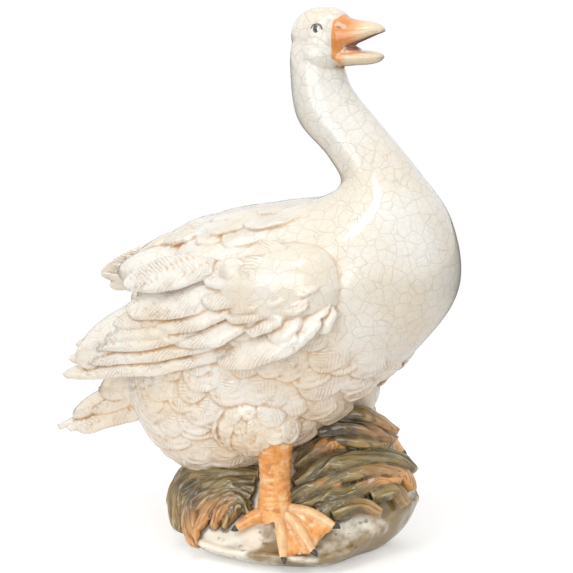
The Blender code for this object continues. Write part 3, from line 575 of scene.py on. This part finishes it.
# A blade whose strands are waves across it that wander as they run along it
def leaf(casting, path, width, tipPaint, phase):
    path = np.asarray(path, float)
    middle = path[len(path) // 2]
    out = (middle[0] * 0.3 + 5, middle[1], 45.0)
    strands = width / leaves["strandWidth"] / 2
    wobble = np.sin(phase * 3)

    def half(share):
        wavy = 1 + 0.12 * np.sin(7 * share + phase)
        return width / 2 * np.minimum(1, 0.45 + 1.5 * share) * (1 - share**2.6) ** 0.6 * wavy

    def thick(share):
        return leaves["thickness"] * (1 - 0.35 * share)

    def relief(share, across):
        lean = across * strands / 2 + 0.5 * np.sin(4 * share + phase) + 0.2 * np.sin(9 * share + 2 * phase)
        lean = lean + 0.35 * wobble * share
        wave = np.cos(2 * math.pi * lean) + 0.5 * np.cos(2 * math.pi * (lean * 1.7 + share + phase))
        swell = 0.5 + 0.5 * np.sin(5 * share + 3 * across + 2 * phase)
        return leaves["strandDepth"] * (0.35 + 0.65 * swell) * (wave / 1.3 - 0.3) * np.clip(share * 4, 0, 1)

    tip = tipPaint * np.clip((bladePlaces(60) - 0.3) * 2.2, 0, 1)
    blade(casting, path, out, half, thick, relief, 1.0, 2.4, steps=60, around=64, leaf=1.0, tip=tip)


# The leaves of the seen side, then those of the far side, which run down from the middle of the heap to its rim
def makeLeaves(casting):
    for i, (path, width, tipPaint) in enumerate(leaves["right"] + leaves["left"]):
        leaf(casting, path, width, tipPaint, i * 1.3)
    for i, (x, y, width) in enumerate(leaves["far"]):
        share = np.array((0.3, 0.55, 0.8, 1.0))
        plan = np.array((x, y)) * share[:, None] + np.array((16, 8)) * (1 - share[:, None])
        level = rockTop(plan[:, 0], plan[:, 1]) + np.array((4, 6, 5, 0))
        leaf(casting, np.hstack((plan, level[:, None])), width, (i % 3) / 2, i * 2.1)


# Legs: a ringed shank, three webbed toes, a hind toe and dark claws. Each toe runs from the ankle to its tip.
legs = {
    "ringPitch": 3.4, "ringDepth": 0.6, "toeWidth": 6.8, "web": 4.5,
    "near": {"ankle": (4, -43, 40), "top": (2, -39, 98), "tips": ((22, -67, 12), (40, -57, 16), (49, -41, 31)),
             "spur": (-19, -57, 26), "thigh": (-16, -36, 110)},
    "far": {"ankle": (36, 38, 90), "top": (34, 36, 124), "tips": ((38, 68, 50), (54, 63, 54), (64, 50, 62)),
            "spur": (20, 48, 76), "thigh": (16, 32, 118)},
}


# Rings: narrow cuts, one for each pitch along the length, that wander round the leg
def ringRelief(length, depth):
    def relief(share, turns):
        reach = share * length
        wander = 1.3 * np.cos(turns) + 0.5 * np.sin(3 * turns + reach / 3) + 0.6 * np.sin(reach / 5)
        wave = np.cos(2 * math.pi * (reach + wander) / legs["ringPitch"])
        return -depth * (0.5 + 0.5 * wave) ** 2
    return relief


# A shank, its thigh, three toes with claws and webs between them, and the hind toe with its claw
def makeLeg(casting, name):
    leg = legs[name]
    ankle, top = np.array(leg["ankle"], float), np.array(leg["top"], float)
    drop = top - ankle
    path = (top, top - drop * 0.12, top - drop * 0.35, ankle + drop * 0.3, ankle, ankle + (4, 0.05 * ankle[1], -9))
    bar(casting, path, (13, 13.8, 12.2, 11.3, 12.5, 11), around=56, steps=110,
        relief=ringRelief(78, legs["ringDepth"]), leg=1.0)
    side = math.copysign(1, ankle[1])
    makeThigh(casting, leg["thigh"], leg["top"], side)
    toes = []
    for tip in leg["tips"]:
        tip = np.array(tip, float)
        share = np.linspace(0, 1, 7)[:, None]
        points = mix(ankle + (1, 0, -2), tip, share)
        points = points + np.array((0, 0, 5.0)) * np.sin(share * math.pi) + (0, 0, 1.2)
        toes.append(points)
        radii = legs["toeWidth"] / 2 * np.array((1.3, 1.15, 1.05, 1.1, 1.1, 1.0, 0.8))
        bar(casting, points, radii, (0, 0, 1), 32, 60, ringRelief(46, 0.3 * legs["ringDepth"]), leg=1.0, tip=1.0)
        ahead = unit(tip - ankle)
        end = points[-1] + ahead * 5
        claw = (points[-1] - ahead * 2, mix(points[-1], end, 0.5) + (0, 0, 0.8), end)
        bar(casting, claw, (2.6, 2.0, 0.7), (0, 0, 1), claw=1.0)
    for first, last in zip(toes, toes[1:]):
        share = np.linspace(0, 1, 34)[:, None, None]
        fine = np.linspace(0, 1, 44)
        line = mix(smoothRows(first, fine)[None], smoothRows(last, fine)[None], share)
        share = share[..., 0]
        line[..., 2] += 2.4 - 0.7 * np.sin(share * math.pi) + 0.45 * np.cos(8 * share * math.pi) * fine
        pull = 0.07 * np.sin(share * math.pi) * fine**3
        line = line + (line[:, :1] - line) * pull[..., None]
        under = line[:, ::-1] - np.array((0, 0, legs["web"]))
        casting.add(np.concatenate((line, under), axis=1), leg=1.0)
    spur = np.array(leg["spur"], float)
    heel = ankle + (-4, side * 3, -4)
    bar(casting, (heel, mix(heel, spur, 0.5) + (0, 0, 2), spur), (6.5, 5.0, 3.2), (0, 0, 1), around=28, leg=1.0)
    end = spur + unit(spur - heel) * 5
    bar(casting, (spur, mix(spur, end, 0.5), end), (2.8, 2.2, 0.6), (0, 0, 1), claw=1.0)


# Blending: the shells become one skin of even squares, which is smoothed and thinned where it is flat
skin = {"mostTriangles": 190000, "lumpSize": 4.2,
        # The square of the skin, rounds of smoothing, the share of each cut that slip has filled, the unevenness
        "bird": (0.85, 1, 0.25, 0.3), "rock": (0.9, 1, 0.1, 0.6)}


# Each round moves every value towards the middle of its neighbours' values
def averaged(edges, values, times, strength=0.5):
    count = len(values)
    share = np.bincount(edges.ravel(), minlength=count)[:, None]
    for _ in range(times):
        total = [np.bincount(edges[:, 0], column[edges[:, 1]], count)
                 + np.bincount(edges[:, 1], column[edges[:, 0]], count) for column in values.T]
        values = values + strength * (np.stack(total, 1) / share - values)
    return values


# The values of every point, edge or attribute, in rows
def readRows(data, name, width=1, kind=np.float32):
    values = np.empty(len(data) * width, kind)
    data.foreach_get(name, values)
    return values.reshape(-1, width)


def readPaint(mesh, key):
    return readRows(mesh.attributes[key].data, "value").astype(float)


def writePaint(mesh, key, values):
    attribute = mesh.attributes.get(key) or mesh.attributes.new(key, "FLOAT", "POINT")
    attribute.data.foreach_set("value", np.ascontiguousarray(values, np.float32).ravel())


# Moves the points and gives back which way each one faces
def moveTo(mesh, places):
    mesh.vertices.foreach_set("co", places.astype(np.float32).ravel())
    mesh.update()
    return readRows(mesh.vertices, "normal", 3)


# Where the glaze lies thick and rounds the carving: middle, reach and rounds
softened = (((30, -80, 205), (34, 30, 26), 6), ((30, 80, 205), (34, 30, 26), 6), ((-40, 0, 235), (80, 60, 30), 3),
            ((30, -76, 182), (30, 25, 15), 9), ((30, 76, 182), (30, 25, 15), 9), ((20, 0, 369), (20, 30, 9), 14))


# Hand-worked unevenness between -1 and 1: a product of waves along three directions, bent by slower waves
def unevenness(points, size):
    bent = points / size + 1.3 * np.sin(points[:, [1, 2, 0]] / (size * 2.3) + (0.4, 1.9, 3.1))
    first = np.sin(bent[:, 0] + 0.6 * bent[:, 1]) * np.cos(bent[:, 2] - 0.4 * bent[:, 0])
    second = np.sin(1.9 * bent[:, 1] + 0.7) * np.sin(1.7 * bent[:, 2] + 1.1 * bent[:, 0])
    return 0.65 * first + 0.35 * second


# One skin round all the shells, smoothed, filled and made uneven, with what its painting needs, then thinned
def blend(name, casting, square, smoothing, filled, uneven):
    mesh = bpy.data.meshes.new(name)
    faces = [[*dict.fromkeys(face)] for face in np.vstack(casting.faces).tolist()]
    mesh.from_pydata((np.vstack(casting.points) * metre).tolist(), [], faces)
    for key, values in zip(paintNames, np.vstack(casting.paint).T):
        writePaint(mesh, key, values)
    piece = newObject(name, mesh)
    bpy.context.view_layer.objects.active = piece
    piece.select_set(True)
    mesh.remesh_voxel_size = square * metre
    mesh.use_remesh_preserve_attributes = True
    mesh.use_remesh_fix_poles = False
    bpy.ops.object.voxel_remesh()
    mesh = piece.data
    places = readRows(mesh.vertices, "co", 3).astype(float)
    average = partial(averaged, readRows(mesh.edges, "vertices", 2, np.int32))

    # How far each point lies below the surface around it, in mm
    def below(rounds):
        return ((average(places, rounds) - places) * normals).sum(axis=1, keepdims=True) / metre

    # Smoothing that keeps the girth: each round draws the points in and then lets them out again
    for _ in range(smoothing):
        places = average(average(places, 1, 0.6), 1, -0.5)
    for centre, radius, times in softened:
        near = np.exp(-(((places / metre - centre) / radius) ** 2).sum(axis=1))[:, None]
        for strength in (0.6, -0.5) * times:
            places = places + near * (average(places, 1, strength) - places)
    # Slip has filled the deepest cuts, and every feather and leaf is a little uneven
    normals = moveTo(mesh, places)
    worked = sum(average(readPaint(mesh, key), 8) * share for key, share in (("feather", 1.5), ("leaf", 1.0)))
    rise = average(filled * np.clip(below(25) - 0.25, 0, 3), 2)
    rise = rise + uneven * np.clip(worked, 0, 1) * unevenness(places / metre, skin["lumpSize"])[:, None]
    places = places + normals * rise * metre
    normals = moveTo(mesh, places)
    for key in ("mouth", "tip", "along", "across"):
        writePaint(mesh, key, average(readPaint(mesh, key), 3))
    # What the paint follows, painted shade among it: how much each point faces down, and how deep it lies, close
    # by and further off
    writePaint(mesh, "under", average(np.clip(-normals[:, 2:] - 0.15, 0, 1), 20))
    for key, rounds in (("crease", 10), ("hollow", 70)):
        writePaint(mesh, key, average(below(rounds), 2))
    triangles = 2 * len(mesh.polygons)
    if triangles > skin["mostTriangles"]:
        thin = piece.modifiers.new("thin", "DECIMATE")
        thin.ratio = skin["mostTriangles"] / triangles
        bpy.ops.object.modifier_apply(modifier=thin.name)
    piece.data.shade_smooth()
    piece.select_set(False)
    print(name, "blended:", triangles, "triangles, kept:", len(piece.data.polygons))
    return piece


# Materials

smooth, mixed, noise, attribute = "MapRange.SMOOTHSTEP", "Mix.RGBA", "TexNoise", "Attribute."
times, plus, minus, larger = "Math.MULTIPLY", "Math.ADD", "Math.SUBTRACT", "Math.MAXIMUM"


# An sRGB hex colour as the linear values that a shader takes
def linear(hexColour):
    values = [int(hexColour[i:i + 2], 16) / 255 for i in (1, 3, 5)]
    return (*[v / 12.92 if v <= 0.04045 else ((v + 0.055) / 1.055) ** 2.4 for v in values], 1.0)


nodeModes = {"Math": "operation", "VectorMath": "operation", "MapRange": "interpolation_type", "Mix": "data_type",
             "TexVoronoi": "feature", "Attribute": "attribute_name"}


# Adds a node, such as "Math.MULTIPLY". Its enabled inputs are filled in order, then those given by name: a socket
# is linked and a value is set. It gives back the node's first enabled output, or the one that is named.
def addNode(tree, kind, *inputs, output=None, **named):
    kind, _, mode = kind.partition(".")
    node = tree.nodes.new("ShaderNode" + kind)
    if mode:
        setattr(node, nodeModes[kind], mode)
    sockets = [*zip([socket for socket in node.inputs if socket.enabled], inputs)]
    sockets += [(node.inputs[key.replace("_", " ")], value) for key, value in named.items()]
    for socket, value in sockets:
        if isinstance(value, bpy.types.NodeSocket):
            tree.links.new(value, socket)
        else:
            socket.default_value = value
    return node.outputs[output] if output else next((socket for socket in node.outputs if socket.enabled), node)


# Coats of paint over a first one: each has how much of it there is, and its colour or the colour's name
def layCoats(add, colours, first, *coats):
    colour = colours.get(first, first)
    for share, coat in coats:
        colour = add(mixed, share, colour, colours.get(coat, coat))
    return colour


# A material with no nodes yet, the way to add them, and the way to lay coats of its colours
def emptyMaterial(name, paint):
    material = bpy.data.materials.new(name)
    material.use_nodes = True
    material.node_tree.nodes.clear()
    colours = {key: linear(value) for key, value in paint.items() if isinstance(value, str)}
    add = partial(addNode, material.node_tree)
    return material, add, partial(layCoats, add, colours)


# Crackle: the glaze shrinks more than the clay and crazes into cells of about 10 mm, finer in some of them
crackle = {"cell": 9.5, "finerCell": 5.2, "line": 0.24, "bend": 2.4}


# The cracks are the borders of uneven cells, bent a little by noise, in two sizes of which the finer is fainter
def crazeLines(add, place):
    bend = add(noise, place, 140.0, 2.0, output="Color")
    bend = add("VectorMath.SCALE", add("VectorMath.SUBTRACT", bend, (0.5, 0.5, 0.5)), crackle["bend"] * metre)
    moved = add("VectorMath.ADD", place, bend)
    lines = 0.0
    for cell, strength in ((crackle["cell"], 1.0), (crackle["finerCell"], 0.45)):
        edge = add("TexVoronoi.DISTANCE_TO_EDGE", moved, 1 / (cell * metre))
        width = crackle["line"] / cell
        line = add(smooth, edge, width * 0.4, width * 1.3, strength, 0.0)
        lines = add(larger, line, lines)
    return lines


# The bird's painted places, seen from the side, in mm: the beak's border, the eye with its painted highlight, and
# the nostril
birdPaint = {
    "ivory": "#f6f2e9", "warmIvory": "#f2e7d3", "stain": "#ecc592", "wash": "#e2b073", "deepWash": "#bd8248",
    "crazeLine": "#ab9e90", "beak": "#e8924a", "beakLight": "#f0a961", "beakEnd": "#f7e1bd", "gum": "#f4d4be",
    "throat": "#b07a5c", "eye": "#15120f", "spark": "#f4f1ea", "nostril": "#a8602a", "leg": "#e89845",
    "legLight": "#f2b066", "legLine": "#c2762f", "legWorn": "#f8dfb2", "claw": "#33261e",
    "beakBorder": 33.0, "chinZ": 358.0, "crownZ": 383.0,
    # Fine barbs, in mm: the real ones are closer than this, which is as fine as shows
    "barbPitch": 3.4, "barbSlant": 1.1, "barbBend": 3.0,
    "lid": ((22.9, 376.2), (4.2, 4.6)), "pupil": ((22.4, 377.6), (2.1, 2.8)),
    # The eye's pale glint is a painted highlight
    "sparkle": ((24.2, 377.5), (0.8, 1.7)), "nostrilOval": ((38.0, 379.0), (1.8, 1.0)),
}


# Crackle-glazed earthenware: ivory under a clear glassy coat, with an ochre wash that has run into the carving,
# deepened with painted shade in its creases, hollows and undersides
def birdGlaze():
    material, add, coats = emptyMaterial("crackleGlazedEarthenware", birdPaint)
    place = add("TexCoord", output="Object")
    crease, hollow, under, featherPart, along, across, mouth, leg, claw, toe = (
        add(attribute + key, output="Fac")
        for key in ("crease", "hollow", "under", "feather", "along", "across", "mouth", "leg", "claw", "tip"))
    x, y, z = (add(times, add("SeparateXYZ", place, output=axis), 1 / metre) for axis in "XYZ")
    patches = add(noise, place, 22.0, 3.0)
    fine = add(noise, place, 90.0, 4.0)
    # Painted shade: the more a place faces down, the more ochre it holds; lower places hold more ochre too, partly
    # an ochre stain and partly painted shade
    low = add(smooth, z, 270.0, 90.0, 0.0, 0.2)
    stain = add(times, low, add(smooth, patches, 0.3, 0.65, 0.4, 1.0))
    # Painted shade on the undersides, laid in the wash colour
    below = add(times, under, add(smooth, fine, 0.3, 0.7, 0.2, 0.4))
    # Ochre in the creases and deeper ochre in the hollows: partly a wash run into the carving and partly painted
    # shade
    wash = add(times, add(smooth, crease, 0.02, 0.3), add(smooth, patches, 0.2, 0.62, 0.35, 0.7))
    hollowWashAndShade = add(times, add(smooth, hollow, 0.3, 2.0), add(smooth, fine, 0.3, 0.7, 0.5, 0.85))
    # Fine barbs slant away from each shaft, scratched by hand: uneven in depth and a little bent
    slanted = add(minus, along, add(times, add("Math.ABSOLUTE", across), birdPaint["barbSlant"]))
    slanted = add(plus, slanted, add(times, fine, birdPaint["barbBend"]))
    barb = add("Math.SINE", add(times, slanted, 2 * math.pi / birdPaint["barbPitch"]))
    barb = add(times, add(smooth, barb, -0.2, 1.0), add(smooth, featherPart, 0.25, 0.6))
    barb = add(times, barb, add(smooth, add(noise, place, 60.0, 2.0), 0.4, 0.65))
    lines = crazeLines(add, place)
    seen = add(smooth, featherPart, 0.0, 0.5, 0.3, 0.1)
    colour = coats("ivory", (add(smooth, patches, 0.35, 0.7), "warmIvory"), (stain, "stain"), (below, "wash"),
                   (wash, "wash"), (hollowWashAndShade, "deepWash"), (add(times, barb, 0.35), "wash"),
                   (add(times, lines, seen), "crazeLine"))

    # Painted beak: its border leans back under the chin and over the crown
    chin = add(larger, add(minus, birdPaint["chinZ"], z), 0.0)
    crown = add(larger, add(minus, z, birdPaint["crownZ"]), 0.0)
    border = add(plus, add(times, chin, 0.9), add(times, crown, 1.2))
    border = add(minus, x, add(plus, border, birdPaint["beakBorder"]))
    beak = add(times, add(smooth, border, -0.5, 0.3), add(smooth, z, 350.0, 351.5))
    lowerFade = add(times, add(smooth, z, 361.0, 359.0), add(smooth, x, 36.0, 44.0))
    fade = add(larger, add(smooth, x, 42.0, 60.0), lowerFade)
    # Inside the beak: pale gum, and a brown throat that is partly the mouth's colour and partly painted shade
    # under the upper beak
    tone = coats("beak", (add(smooth, fine, 0.3, 0.7), "beakLight"), (fade, "beakEnd"),
                 (add(smooth, mouth, 0.15, 0.35), "gum"), (add(smooth, mouth, 0.4, 0.62), "throat"))
    colour = coats(colour, (beak, tone))

    # How far a point is inside an oval of the side view, in ovals: 1 at its edge
    def oval(name):
        (centreX, centreZ), (radiusX, radiusZ) = birdPaint[name]
        across = add("Math.DIVIDE", add(minus, x, centreX), radiusX)
        upward = add("Math.DIVIDE", add(minus, z, centreZ), radiusZ)
        return add("Math.SQRT", add(plus, add(times, across, across), add(times, upward, upward)))

    outward = add(smooth, add("Math.ABSOLUTE", y), 9.0, 11.0)
    ring = add("Math.ABSOLUTE", add(minus, oval("lid"), 1.0))
    lid = add(times, add(smooth, ring, 0.14, 0.04), add(smooth, z, 376.4, 378.2))
    dark = add(larger, lid, add(smooth, oval("pupil"), 1.1, 0.9))
    # Painted highlight: a pale glint painted on the eye
    spark = add(times, add(smooth, oval("sparkle"), 1.2, 0.8), outward)
    nostril = add(smooth, oval("nostrilOval"), 1.2, 0.7, 0.0, 0.8)
    colour = coats(colour, (add(times, dark, outward), "eye"), (spark, "spark"), (nostril, "nostril"))

    # Painted legs: orange with darker blots, painted shade in the ring cuts, cream worn blots and toe ends, and
    # painted highlights of cream on their ridges
    blots = add(noise, place, 130.0, 3.0)
    tone = coats("leg", (add(smooth, fine, 0.4, 0.62), "legLight"),
                 (add(smooth, blots, 0.52, 0.68, 0.0, 0.6), "legWorn"),
                 (add(smooth, blots, 0.46, 0.34, 0.0, 0.75), "legLine"),
                 (add(smooth, crease, 0.0, 0.3, 0.0, 0.7), "legLine"),
                 (add(smooth, crease, -0.12, -0.45, 0.0, 0.5), "legWorn"), (add(times, toe, 0.4), "legWorn"))
    colour = coats(colour, (add(smooth, leg, 0.4, 0.6), tone), (add(smooth, claw, 0.4, 0.6), "claw"))
    scratches = add(plus, add(times, barb, 1.6), add(times, lines, 0.4))
    bump = add("Bump", 0.6, 0.0006, Height=add(times, scratches, -1.0))
    shader = add("BsdfPrincipled", Base_Color=colour, Roughness=0.28, IOR=1.5, Normal=bump, Coat_Weight=0.9,
                 Coat_Roughness=0.04, Coat_IOR=1.5)
    add("OutputMaterial", shader)
    return material


# The painted rock: washes of brown over grey cream stone, olive brown leaves and orange leaf tips, with painted
# shade in creases and hollows and painted highlights on the leaf ridges
rockPaint = {"stone": "#f0e8d8", "stoneBrown": "#8f774d", "speck": "#4a3a28", "crack": "#5f4c35",
             "leaf": "#5f532f", "leafLight": "#8f7b46", "ridge": "#c0ad7e", "tip": "#e0a05c", "gap": "#3a2e1b",
             "grain": 160.0}


# Painted and glazed clay: strokes of paint along each leaf under the same glassy coat
def rockGlaze():
    material, add, coats = emptyMaterial("glazedRockPaint", rockPaint)
    place = add("TexCoord", output="Object")
    crease, hollow, leafPart, along, across, tip = (
        add(attribute + key, output="Fac") for key in ("crease", "hollow", "leaf", "along", "across", "tip"))
    patches = add(noise, place, 45.0, 4.0)
    fine = add(noise, place, rockPaint["grain"], 4.0)
    # The stone is browner towards its right end
    browner = add(times, add("SeparateXYZ", place, output="X"), 1.8)
    # Stone: brown patches and dark specks, and painted shade in its creases
    stone = coats("stone", (add(smooth, add(plus, patches, browner), 0.47, 0.7), "stoneBrown"),
                  (add(smooth, fine, 0.62, 0.72, 0.0, 0.6), "speck"),
                  (add(smooth, crease, 0.02, 0.3, 0.0, 0.8), "crack"))
    # Strokes: noise stretched along the leaf, from its own two directions and where it lies
    stroke = add("CombineXYZ", add(times, across, 0.5), add(times, along, 0.03), patches)
    stroke = add(noise, stroke, 1.6, 3.0)
    hairs = add("CombineXYZ", add(times, across, 1.3), add(times, along, 0.06), patches)
    hairs = add(noise, hairs, 1.0, 2.0)
    clouds = add(noise, place, 28.0, 2.0)
    tipShare = add(times, tip, add(smooth, stroke, 0.3, 0.5, 0.5, 1.0))
    # Leaves: light strokes, dark patches and strokes, orange tips, painted highlights on their ridges and painted
    # shade in their creases
    tone = coats("leaf", (add(smooth, stroke, 0.38, 0.6), "leafLight"),
                 (add(smooth, clouds, 0.5, 0.62, 0.0, 0.8), "gap"),
                 (add(smooth, crease, -0.1, -0.4, 0.0, 0.7), "ridge"), (tipShare, "tip"),
                 (add(smooth, crease, 0.05, 0.45, 0.0, 0.7), "gap"),
                 (add(smooth, hairs, 0.56, 0.66, 0.0, 0.6), "gap"))
    leafHere = add(smooth, leafPart, 0.4, 0.6)
    # Painted shade in the deep hollows of leaves and stone
    colour = coats(stone, (leafHere, tone), (add(smooth, hollow, 0.5, 2.4, 0.0, 0.6), "gap"))
    bump = add("Bump", 0.6, 0.0008, Height=add(times, hairs, leafHere))
    shader = add("BsdfPrincipled", Base_Color=colour, Roughness=0.3, IOR=1.5, Normal=bump, Coat_Weight=1.0,
                 Coat_Roughness=0.05)
    add("OutputMaterial", shader)
    return material


# The casting

bird = Casting()
makeBody(bird)
makeHead(bird)
makeWing(bird, -1, 0.0)
makeWing(bird, 1, wing["farRaise"])
makeTail(bird)
makePlumage(bird)
makeLeg(bird, "near")
makeLeg(bird, "far")
print("bird shells:", bird.count, "points")
ground = Casting()
makeRock(ground)
makeLeaves(ground)
print("rock shells:", ground.count, "points")
birdSkin = blend("gooseSkin", bird, *skin["bird"])
rockSkin = blend("leafyRock", ground, *skin["rock"])
birdSkin.data.materials.append(birdGlaze())
rockSkin.data.materials.append(rockGlaze())
for piece in (birdSkin, rockSkin):
    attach(piece, "root")
    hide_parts("goose_figurine")

# Studio: a pale floor, a tall soft box on the left, two broad low ones and a white backdrop for the camera

studio = {
    "azimuth": 25.0, "elevation": 12.0, "distance": 1.25, "aim": (-0.007, 0.0, 0.192), "mmPerPixel": 0.72,
    "pixels": 573, "world": 0.9, "floorTone": 0.85, "floorLift": 0.3,
    # The window is seen as a glint on the neck: its way from there, size and watts
    "neckFront": (0.073, -0.042, 0.25), "windowWay": (-0.29, 0.72, 0.58), "window": (1.5, 0.3, 0.8, 4.2),
    # Each soft box: how far ahead of the aim, to the right and up, width, height and watts
    "lightAim": (0.0, 0.0, 0.2),
    "softBoxes": {"frontSoftBox": (1.4, -0.9, 0.2, 1.4, 0.8, 8.5), "rightFill": (0.9, 1.3, 0.2, 1.2, 1.2, 2.2)},
}


# The camera looks at the aim from its azimuth and elevation, at the distance and scale of the photograph
def makeCamera():
    turn, rise = math.radians(studio["azimuth"]), math.radians(studio["elevation"])
    back = Vector((math.sin(turn) * math.cos(rise), -math.cos(turn) * math.cos(rise), math.sin(rise)))
    right = Vector((math.cos(turn), math.sin(turn), 0))
    up = back.cross(right)
    data = bpy.data.cameras.new("camera")
    camera = newObject("camera", data)
    place = Matrix((right, up, back)).transposed().to_4x4()
    place.translation = Vector(studio["aim"]) + back * studio["distance"]
    camera.matrix_world = place
    data.sensor_width = 36.0
    data.lens = 36.0 * studio["distance"] / (studio["mmPerPixel"] * metre * studio["pixels"])
    bpy.context.scene.camera = camera
    return right, up, back


# A rectangle of light at a place, facing the aim
def makeLight(name, place, aim, width, height, power):
    data = bpy.data.lights.new(name, "AREA")
    data.shape = "RECTANGLE"
    data.size = width
    data.size_y = height
    data.energy = power
    light = newObject(name, data)
    light.location = place
    light.rotation_euler = (Vector(aim) - Vector(place)).to_track_quat("-Z", "Y").to_euler()


# Camera, lights, a white backdrop for the camera and the floor
def makeStudio():
    right, up, back = makeCamera()
    flat = Vector((back.x, back.y, 0)).normalized()
    neckFront, aim = Vector(studio["neckFront"]), Vector(studio["lightAim"])
    toRight, upward, towards = studio["windowWay"]
    away, *window = studio["window"]
    way = (right * toRight + up * upward + back * towards).normalized()
    makeLight("window", neckFront + way * away, neckFront, *window)
    for name, (ahead, toRight, upward, *box) in studio["softBoxes"].items():
        makeLight(name, aim + flat * ahead + right * toRight + Vector((0, 0, upward)), aim, *box)
    world = bpy.data.worlds.new("studio")
    bpy.context.scene.world = world
    world.use_nodes = True
    world.node_tree.nodes.clear()
    add = partial(addNode, world.node_tree)
    shown = add("LightPath", output="Is Camera Ray")
    backdrop = add("Background", (1, 1, 1, 1), add("MapRange.LINEAR", shown, 0.0, 1.0, studio["world"], 1.0))
    add("OutputWorld", backdrop)
    mesh = bpy.data.meshes.new("floor")
    half, low = 8.0, -0.0005
    corners = [(-half, -half, low), (half, -half, low), (half, half, low), (-half, half, low)]
    mesh.from_pydata(corners, [], [(0, 1, 2, 3)])
    floor = newObject("floor", mesh)
    # Matt white paper that fades into the white backdrop away from the object
    material, add, _ = emptyMaterial("paleFloor", {})
    seen = add("LightPath", output="Is Camera Ray")
    reach = add("VectorMath.LENGTH", add("TexCoord", output="Object"))
    matt = add("BsdfDiffuse", (studio["floorTone"],) * 3 + (1,))
    lift = add("Emission", (1, 1, 1, 1), add(times, seen, studio["floorLift"]))
    white = add("Emission", (1, 1, 1, 1), seen)
    near = add("AddShader", matt, lift)
    add("OutputMaterial", add("MixShader", add(smooth, reach, 0.2, 0.75), near, white))
    mesh.materials.append(material)


makeStudio()
bpy.context.scene.view_settings.view_transform = "Standard"
print("studio made")
